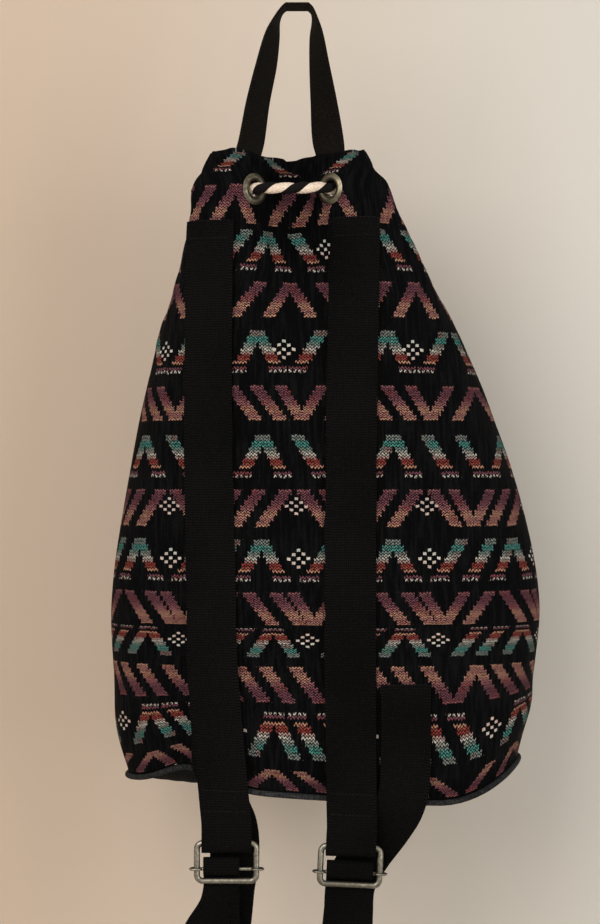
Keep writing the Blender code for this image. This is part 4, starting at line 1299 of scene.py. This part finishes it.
def webbing_piece(name: str, rows: Rows, thickness: float) -> bpy.types.Object:
    """Webbing of one thickness through rows of points across its middle."""
    rows = finer(rows)
    parts = len(rows[0]) - 1
    runs = distances([row[len(row) // 2] for row in rows])
    widths = [(row[-1] - row[0]).length for row in rows]
    piece = grid_piece(name, rows, lambda i, j: ((j / parts - 0.5) * widths[i], runs[i]))
    thicken(piece, thickness, 0.0)
    edge = piece.modifiers.new("soft_edge", "BEVEL")
    edge.width = thickness * 0.28
    edge.segments = 2
    edge.limit_method = "ANGLE"
    edge.angle_limit = math.radians(50)
    apply_modifiers(piece)
    smooth(piece, 50.0)
    return piece


def stitch_piece(name: str, seams: Sequence[Sequence[Vector]], thread: float = 0.00035) -> bpy.types.Object:
    """Rows of small stitches along seams.

    Args:
        name: the piece's name.
        seams: each a line of points on the surface.
        thread: the thread's radius.

    Returns:
        One piece with every stitch.
    """
    points, faces = [], []
    for seam in seams:
        line = smooth_line(seam, 0.0028)
        for a, b in zip(line, line[1:]):
            along = (b - a).normalized()
            up = along.cross(Vector((0.3, 1.0, 0.2))).normalized()
            out = along.cross(up)
            base = len(points)
            for share, size in ((0.10, 0.5), (0.25, 1.0), (0.75, 1.0), (0.90, 0.5)):
                for k in range(6):
                    turn = math.pi * k / 3
                    points.append(mix(a, b, share) + (up * math.cos(turn) + out * math.sin(turn)) * thread * size)
            for r in range(3):
                for k in range(6):
                    m = (k + 1) % 6
                    faces.append((base + r * 6 + k, base + r * 6 + m, base + (r + 1) * 6 + m, base + (r + 1) * 6 + k))
            faces += [tuple(base + k for k in reversed(range(6))), tuple(base + 18 + k for k in range(6))]
    piece = add_mesh(name, points, faces)
    turn_out(piece)
    smooth(piece)
    return piece


@dataclass
class HaulLoop:
    """Narrow webbing, sewn inside the mouth and turned edge-on over the hook."""

    drape: Drape
    width: float = 0.025
    thickness: float = 0.0018
    sewn: float = 0.016
    flat: float = 0.016
    lift: float = 0.0012
    feet: tuple[float, float] = (-0.0368, 0.0245)

    def rows(self) -> Rows:
        """Rows from the left foot over the top to the right foot."""
        lift = -(self.drape.thickness + self.lift + self.thickness / 2)
        top, flat, reach = self.thickness / 2, self.flat / 2, self.drape.loop_reach
        downs = (self.sewn / self.drape.height, self.sewn / self.drape.height / 2)
        rows = [self.drape.across(down, self.feet[0], self.width, lift) for down in downs]
        free = (
            (-0.0350, -0.0270, 0.938, 42),
            (-0.0300, -0.0215, 0.666, 49),
            (-0.0235, -0.0120, 0.395, 55),
            (-0.0190, -0.0050, 0.188, 68),
            (-0.0155, -0.0010, 0.079, 84),
            (-0.0120, 0.0, 0.020, 90),
            (-flat - 0.0006, 0.0, -top / reach, 90),
            (-flat, 0.0, -top / reach, 90),
            (flat, 0.0, -top / reach, 90),
            (flat + 0.0006, 0.0, -top / reach, 90),
            (0.0118, 0.0, 0.020, 90),
            (0.0135, -0.0010, 0.079, 96),
            (0.0148, -0.0050, 0.188, 110),
            (0.0170, -0.0120, 0.395, 123),
            (0.0205, -0.0215, 0.666, 140),
            (0.0238, -0.0290, 0.938, 160),
        )
        for x, y, drop, turn in free:
            angle = math.radians(turn)
            across = Vector((math.cos(angle), math.sin(angle), 0.0))
            rows.append(straight_row(Vector((x, y, -drop * reach)), across, self.width))
        for down in reversed(downs):
            rows.append(list(reversed(self.drape.across(down, self.feet[1], self.width, lift))))
        return rows

    def build(self, groups: Groups) -> None:
        """Builds and dresses the loop."""
        finish = WebbingFinish(
            "loop_webbing", self.width, across=720.0, along=600.0, dark=srgb(7, 6, 5), light=srgb(30, 26, 22)
        )
        piece = webbing_piece("top_loop", self.rows(), self.thickness)
        dress(piece, finish.material(groups), ["haul_loop"])


@dataclass
class Slider:
    """A wire slider: a frame with rounded corners and a loose bar whose eyes run on its rails."""

    side: str
    x: float
    z: float
    roll: float
    squeezed: float
    aside: float = 0.0
    setback: float = 0.0039
    wire: float = 0.0046
    width: float = 0.0492
    height: float = 0.0330
    corner: float = 0.0045
    bar: float = 0.0028
    bar_rest: float = 0.0090
    eye_slack: float = 0.0016
    eye_wire: float = 0.00086
    eye_room: float = 0.0009
    rod_room: float = 0.0006
    y: float = 0.0

    def turn(self) -> Matrix:
        """The slider's roll about Y."""
        return Matrix.Rotation(math.radians(self.roll), 4, "Y")

    def at(self, x: float, y: float, z: float) -> Vector:
        """World point of a local one: X across, Y back, Z up from the bottom bar's centre."""
        return Vector((self.x, self.y, self.z)) + self.turn() @ Vector((x, y, z))

    def row(self, y: float, z: float, width: float, x: float = 0.0) -> list[Vector]:
        """A row of points across webbing at this place of the slider."""
        return straight_row(self.at(x, y, z), self.turn() @ Vector((1.0, 0.0, 0.0)), width)

    def build(self, metal: bpy.types.Material) -> None:
        """Builds and dresses the frame and the bar."""
        half, top = (self.width - self.wire) / 2, self.height - self.wire
        line = []
        for x, z, start in ((half, 0.0, -90), (half, top, 0), (-half, top, 90), (-half, 0.0, 180)):
            px = x - math.copysign(self.corner, x)
            pz = z + (self.corner if z == 0.0 else -self.corner)
            for k in range(9):
                angle = math.radians(start + 90 * k / 8)
                line.append(self.at(px + self.corner * math.cos(angle), 0.0, pz + self.corner * math.sin(angle)))
        frame = wire_piece(f"{self.side}_wire_frame", line, self.wire / 2, True)
        dress(frame, metal, [f"{self.side}_slider_frame"])
        hole = self.wire / 2 + CLEARANCE
        reach, round_rail = half - hole - self.rod_room, hole + self.eye_room
        parts = [wire_piece("rod", [Vector((-reach, 0.0, 0.0)), Vector((reach, 0.0, 0.0))], self.bar / 2, False)]
        for sign in (1.0, -1.0):
            eye = []
            for shift, start in ((self.eye_slack, -90), (0.0, 90)):
                for k in range(13):
                    angle = math.radians(start + 15 * k)
                    x = sign * (half + shift + round_rail * math.cos(angle))
                    eye.append(Vector((x, round_rail * math.sin(angle), 0.0)))
            parts.append(wire_piece("eye", eye, self.eye_wire, True))
        bar = join(f"{self.side}_loose_bar", parts)
        bar.data.transform(Matrix.Translation(self.at(0.0, 0.0, self.bar_rest)) @ self.turn())
        turn_out(bar)
        dress(bar, metal, [f"{self.side}_slider_bar"], f"{self.side}_bar")


FOLD_ROWS = 14


@dataclass(frozen=True)
class StrapRoute:
    """Where the webbing of one side runs, in metres and degrees.

    line and anchor are the (share of the height, X) of the shoulder strap's and the lower strap's middle on the
    cloth. swing has the lower strap's free rows: (X, Y, height above the base, tilt, turn). tail has the rows below
    the slider: (share of the tail, shift in X, shift in Y, turn, share of the width regained).
    """

    line: tuple
    anchor: tuple
    swing: tuple
    tail: tuple


LEFT_ROUTE = StrapRoute(
    line=((0.113, -0.0665), (0.45, -0.0668), (0.79, -0.0630), (0.86, -0.0605)),
    anchor=((0.832, -0.0625), (0.88, -0.0622), (0.93, -0.0612)),
    swing=(
        (-0.0600, -0.0565, 0.0133, 8, 9), (-0.0540, -0.0548, -0.0007, 16, 8), (-0.0495, -0.0515, -0.0157, 10, 5),
        (-0.0473, -0.0470, -0.0347, 2, 4), (-0.0478, -0.0400, -0.0577, -3, 0), (-0.0510, -0.0350, -0.0787, -3, 0),
        (-0.0529, -0.0330, -0.0967, 0, 0),
    ),
    tail=(
        (0.15, -0.0065, 0.0, 22, 0.15), (0.40, -0.0140, -0.001, 18, 0.75), (0.70, -0.0210, -0.003, 8, 1.0),
        (1.00, -0.0270, -0.004, 4, 1.0),
    ),
)
RIGHT_ROUTE = StrapRoute(
    line=((0.108, 0.0435), (0.27, 0.0424), (0.42, 0.0409), (0.86, 0.0398)),
    anchor=((0.832, 0.0816), (0.88, 0.0816), (0.93, 0.0812)),
    swing=(
        (0.0803, -0.0618, 0.0033, 8, -2), (0.0756, -0.0606, -0.0127, 18, 0), (0.0664, -0.0560, -0.0277, 28, 0),
        (0.0514, -0.0470, -0.0497, 28, 0), (0.0410, -0.0360, -0.0727, 14, 0), (0.0392, -0.0330, -0.0967, 0, 0),
    ),
    tail=(
        (0.15, -0.0005, 0.0, 0, 0.4), (0.40, -0.0015, 0.0, -3, 1.0), (0.70, -0.0030, 0.001, -6, 1.0),
        (1.00, -0.0040, 0.002, -6, 1.0),
    ),
)


@dataclass
class Straps:
    """Shoulder straps, lower straps and the sliders that join them."""

    drape: Drape
    width: float = 0.0375
    thickness: float = 0.0016
    lift: float = 0.0012
    sewn_fold: float = 0.026
    lead_in: float = 0.014
    fold_drop: float = 0.0067
    fold_radius: float = 0.0036
    turn_radius: float = 0.0034
    tail: float = 0.068

    def base_level(self) -> float:
        """Height of the tube's lower edge."""
        return -self.drape.loop_reach - self.drape.height

    def shoulder_rows(self, line: tuple, slider: Slider, lift: float) -> Rows:
        """Rows of a shoulder strap: over the cloth, down free, and round the slider's top bar."""
        rows = []
        for i in range(27):
            down = mix(line[0][0], 0.84, i / 26)
            extra = lift * smoothstep(0.70, 0.80, down)
            out = self.lift + self.thickness / 2 + extra
            rows.append(self.drape.across(down, read_rows(line, down)[0], self.width, out))
        slider.y = sum(p.y for p in rows[-1]) / len(rows[-1]) + slider.setback
        top = slider.height - slider.wire
        entry = slider.row(-slider.setback, top + self.lead_in, self.width)
        last = rows[-1]
        for share in (0.25, 0.5, 0.75, 0.9):
            rows.append([
                Vector((mix(a.x, b.x, share), mix(a.y, b.y, share**4), mix(a.z, b.z, share)))
                for a, b in zip(last, entry)
            ])
        fold = self.fold_radius
        bottom = top - self.fold_drop + fold
        profile = [(-slider.setback, top + self.lead_in), (-slider.setback, top)]
        for k in range(7):
            angle = math.pi + math.pi * k / 6
            profile.append((fold * math.cos(angle), bottom + fold * math.sin(angle)))
        second = -slider.setback + self.thickness + 2 * CLEARANCE
        profile += [(fold, top + 0.001), (fold * 0.6, top + 0.006)]
        profile += [(second, top + 0.013), (second, top + self.sewn_fold)]
        return rows + [slider.row(y, z, self.width) for y, z in profile]

    def threading(self, slider: Slider) -> Rows:
        """Rows of a lower strap in its slider: up behind, over the loose bar, down, and back under it."""
        turn = self.turn_radius
        crown = slider.bar_rest + 0.0048
        profile = [(0.0090, -0.030), (0.0088, -0.016), (0.0078, -0.004), (0.0062, 0.005), (0.0044, 0.0105)]
        for k in range(7):
            angle = math.pi * k / 6
            profile.append((turn * math.cos(angle), crown + turn * math.sin(angle)))
        gap = (slider.wire / 2 + slider.bar_rest - slider.bar / 2) / 2
        behind = slider.wire / 2 + self.thickness / 2 + CLEARANCE
        profile += [
            (-turn, slider.bar_rest), (-0.0029, slider.bar_rest - 0.0024), (-0.0012, gap + 0.0003),
            (0.0014, gap - 0.0005), (0.0034, 0.0026), (behind + 0.0006, 0.0), (behind + 0.0005, -0.004),
        ]
        return [slider.row(y, z, slider.squeezed, slider.aside) for y, z in profile]

    def lower_rows(self, slider: Slider, route: StrapRoute) -> Rows:
        """Rows of a lower strap: on the cloth, down in a slack bend, through the slider, and the tail."""
        lift = self.lift + self.thickness / 2
        rows = [self.drape.across(down, x, self.width, lift) for down, x in route.anchor]
        for x, y, z, tilt, turn in route.swing:
            lean, twist = math.radians(tilt), math.radians(turn)
            across = Vector((math.cos(lean) * math.cos(twist), -math.sin(twist), -math.sin(lean))).normalized()
            rows.append(straight_row(Vector((x, y, self.base_level() + z)), across, self.width))
        entry = slider.at(slider.aside, 0.009, -0.030)
        last_x, last_y = route.swing[-1][:2]
        bend = (last_y - entry.y) / 2
        for k in range(1, 6):
            angle = math.pi * k / 6
            y = entry.y + bend + bend * math.cos(angle)
            z = entry.z - 0.008 - bend * math.sin(angle)
            centre = Vector((mix(last_x, entry.x, k / 6), y, z))
            rows.append(straight_row(centre, Vector((1.0, 0.0, 0.0)), mix(self.width, slider.squeezed, k / 6)))
        rows += self.threading(slider)
        start = slider.at(0.0, 0.0039, 0.0)
        for share, aside, back, turn, width_share in route.tail:
            angle = math.radians(turn)
            across = Vector((math.cos(angle), math.sin(angle), 0.0))
            centre = Vector((start.x + aside, start.y + back, start.z - 0.004 - self.tail * share))
            rows.append(straight_row(centre, across, mix(slider.squeezed, self.width, width_share)))
        return rows

    def seams(self, rows: Rows, at: Sequence[int], inset: float = 0.0025) -> list[list[Vector]]:
        """Seams across and along webbing, just outside its face."""
        found = []
        for k in at:
            row = rows[k]
            along = rows[min(k + 1, len(rows) - 1)][4] - rows[max(k - 1, 0)][4]
            out = (row[-1] - row[0]).cross(along).normalized() * (self.thickness / 2 + 0.0002)
            if out.y > 0:
                out = -out
            side = (row[-1] - row[0]).normalized() * inset
            found.append([row[0] + side + out, *[p + out for p in row[1:-1]], row[-1] - side + out])
        return found

    def build(self, groups: Groups) -> None:
        """Builds and dresses the straps, their stitching and the sliders."""
        left = Slider("left", -0.0529, self.base_level() - 0.0663, 0.0, 0.0270, -0.0040)
        right = Slider("right", 0.0392, self.base_level() - 0.0686, 2.5, 0.0350)
        webbing = WebbingFinish("strap_webbing", self.width).material(groups)
        thread = PlainClothFinish("thread", srgb(10, 10, 10), srgb(38, 37, 37), 2500.0).material(groups)
        seams = []
        for slider, route, extra in ((left, LEFT_ROUTE, self.thickness + 2 * self.lift), (right, RIGHT_ROUTE, 0.0)):
            side = slider.side
            rows = self.shoulder_rows(route.line, slider, extra)
            fold = len(rows) - FOLD_ROWS
            seams += self.seams(rows, (0, 1, fold - 1, fold))
            strap = webbing_piece(f"{side}_strap", rows, self.thickness)
            dress(strap, webbing, [f"{side}_shoulder_strap"])
            rows = self.lower_rows(slider, route)
            seams += self.seams(rows, (0,), 0.003)
            strap = webbing_piece(f"{side}_end_strap", rows, self.thickness)
            dress(strap, webbing, [f"{side}_lower_strap"])
        dress(stitch_piece("strap_stitches", seams), thread)
        metal = MetalFinish("gunmetal", srgb(104, 100, 90), srgb(150, 146, 134)).material(groups)
        left.build(metal)
        right.build(metal)


@dataclass
class Studio:
    """Wall, floor, lamps and the camera at the photograph's place."""

    # The wall's two colours are painted light: darker and warmer on the left, paler and cooler on the right.
    wall_left: Colour = srgb(197, 176, 156)
    wall_right: Colour = srgb(206, 202, 194)
    distance: float = 1.60
    strap_y: float = -0.060
    frame_height: float = 0.693
    aim: tuple[float, float] = (0.00225, -0.3533)
    lit_height: float = -0.34

    def backdrop(self) -> None:
        """A plain wall close behind the bag, unseen from its back, and a pale floor."""
        plain = Surface("plain_wall", Roughness=0.9)
        # Painted light: the wall's colour runs from a darker, warmer left to a paler, cooler right.
        across = plain.span(plain.parts(plain.place())[0], -0.30, 0.34, 0.0, 1.0)
        behind = plain.out("ShaderNodeNewGeometry", "Backfacing")
        plain.shade(Base_Color=plain.blend(across, self.wall_left, self.wall_right), Alpha=1.0 - behind)
        pale = Surface("pale_floor", Roughness=0.85)
        mottle = pale.noise(pale.place(), 3.0)
        pale.shade(Base_Color=pale.blend(mottle, srgb(214, 208, 198), srgb(220, 214, 205)))
        for name, finish, place, tilt, scale in (
            ("wall", plain, (0.0, 0.175, -0.30), math.pi / 2, (2.6, 2.2, 1.0)),
            ("floor", pale, (0.0, -1.2, -1.02), 0.0, (6.0, 6.0, 1.0)),
        ):
            deselect()
            bpy.ops.mesh.primitive_plane_add(size=1.0, location=place, rotation=(tilt, 0.0, 0.0))
            plane = bpy.context.object
            plane.name = name
            plane.scale = scale
            settle(plane)
            plane.data.materials.append(finish.material)

    def lamp(self, name: str, place: Vector, size: float, power_watts: float, colour: Colour) -> None:
        """A square soft lamp that faces the bag."""
        deselect()
        bpy.ops.object.light_add(type="AREA", location=place)
        lamp = bpy.context.object
        lamp.name = name
        lamp.data.size = size
        lamp.data.energy = power_watts
        lamp.data.color = colour
        target = Vector((0.0, 0.0, self.lit_height))
        lamp.rotation_euler = (target - place).to_track_quat("-Z", "Y").to_euler()

    def light(self) -> None:
        """Soft lamps, and a world that looks pale to the camera."""
        self.lamp("key", Vector((-1.0, -1.9, 0.55)), 1.5, 36.0, (1.0, 0.97, 0.93))
        self.lamp("fill", Vector((1.7, -1.6, -0.5)), 1.6, 26.0, (1.0, 0.99, 0.97))
        self.lamp("back", Vector((0.4, 1.9, 0.7)), 1.4, 22.0, (1.0, 1.0, 1.0))
        world = bpy.data.worlds.new("studio")
        bpy.context.scene.world = world
        world.use_nodes = True
        g = Graph(world.node_tree)
        path = g.node("ShaderNodeLightPath").outputs
        camera, glossy, through = (Value(g, path[f"Is {kind} Ray"]) for kind in ("Camera", "Glossy", "Transmission"))
        seen = camera.larger(glossy).larger(through)
        background = world.node_tree.nodes["Background"].inputs
        g.put(background["Color"], g.blend(seen, (1.0, 0.98, 0.96), srgb(222, 216, 208)))
        g.put(background["Strength"], seen * 0.58 + 0.42)

    def camera(self) -> None:
        """The camera, level and square to the straps."""
        data = bpy.data.cameras.new("camera")
        data.sensor_fit = "VERTICAL"
        data.sensor_height = 36.0
        data.lens = data.sensor_height * self.distance / self.frame_height
        camera = add_object("camera", data)
        camera.location = (self.aim[0], self.strap_y - self.distance, self.aim[1])
        camera.rotation_euler = (math.pi / 2, 0.0, 0.0)
        bpy.context.scene.camera = camera

    def build(self) -> None:
        """Sets up the whole studio."""
        bpy.context.scene.view_settings.view_transform = "Standard"
        self.camera()
        self.backdrop()
        self.light()


def main() -> None:
    """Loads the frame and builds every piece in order."""
    logging.basicConfig(level=logging.INFO, format="%(name)s: %(message)s")
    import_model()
    Studio().build()
    groups = Groups()
    drape = Drape()
    for assembly in (Rope, ClothBody, Eyelets, HaulLoop, Straps):
        assembly(drape).build(groups)


if __name__ == "__main__":
    main()
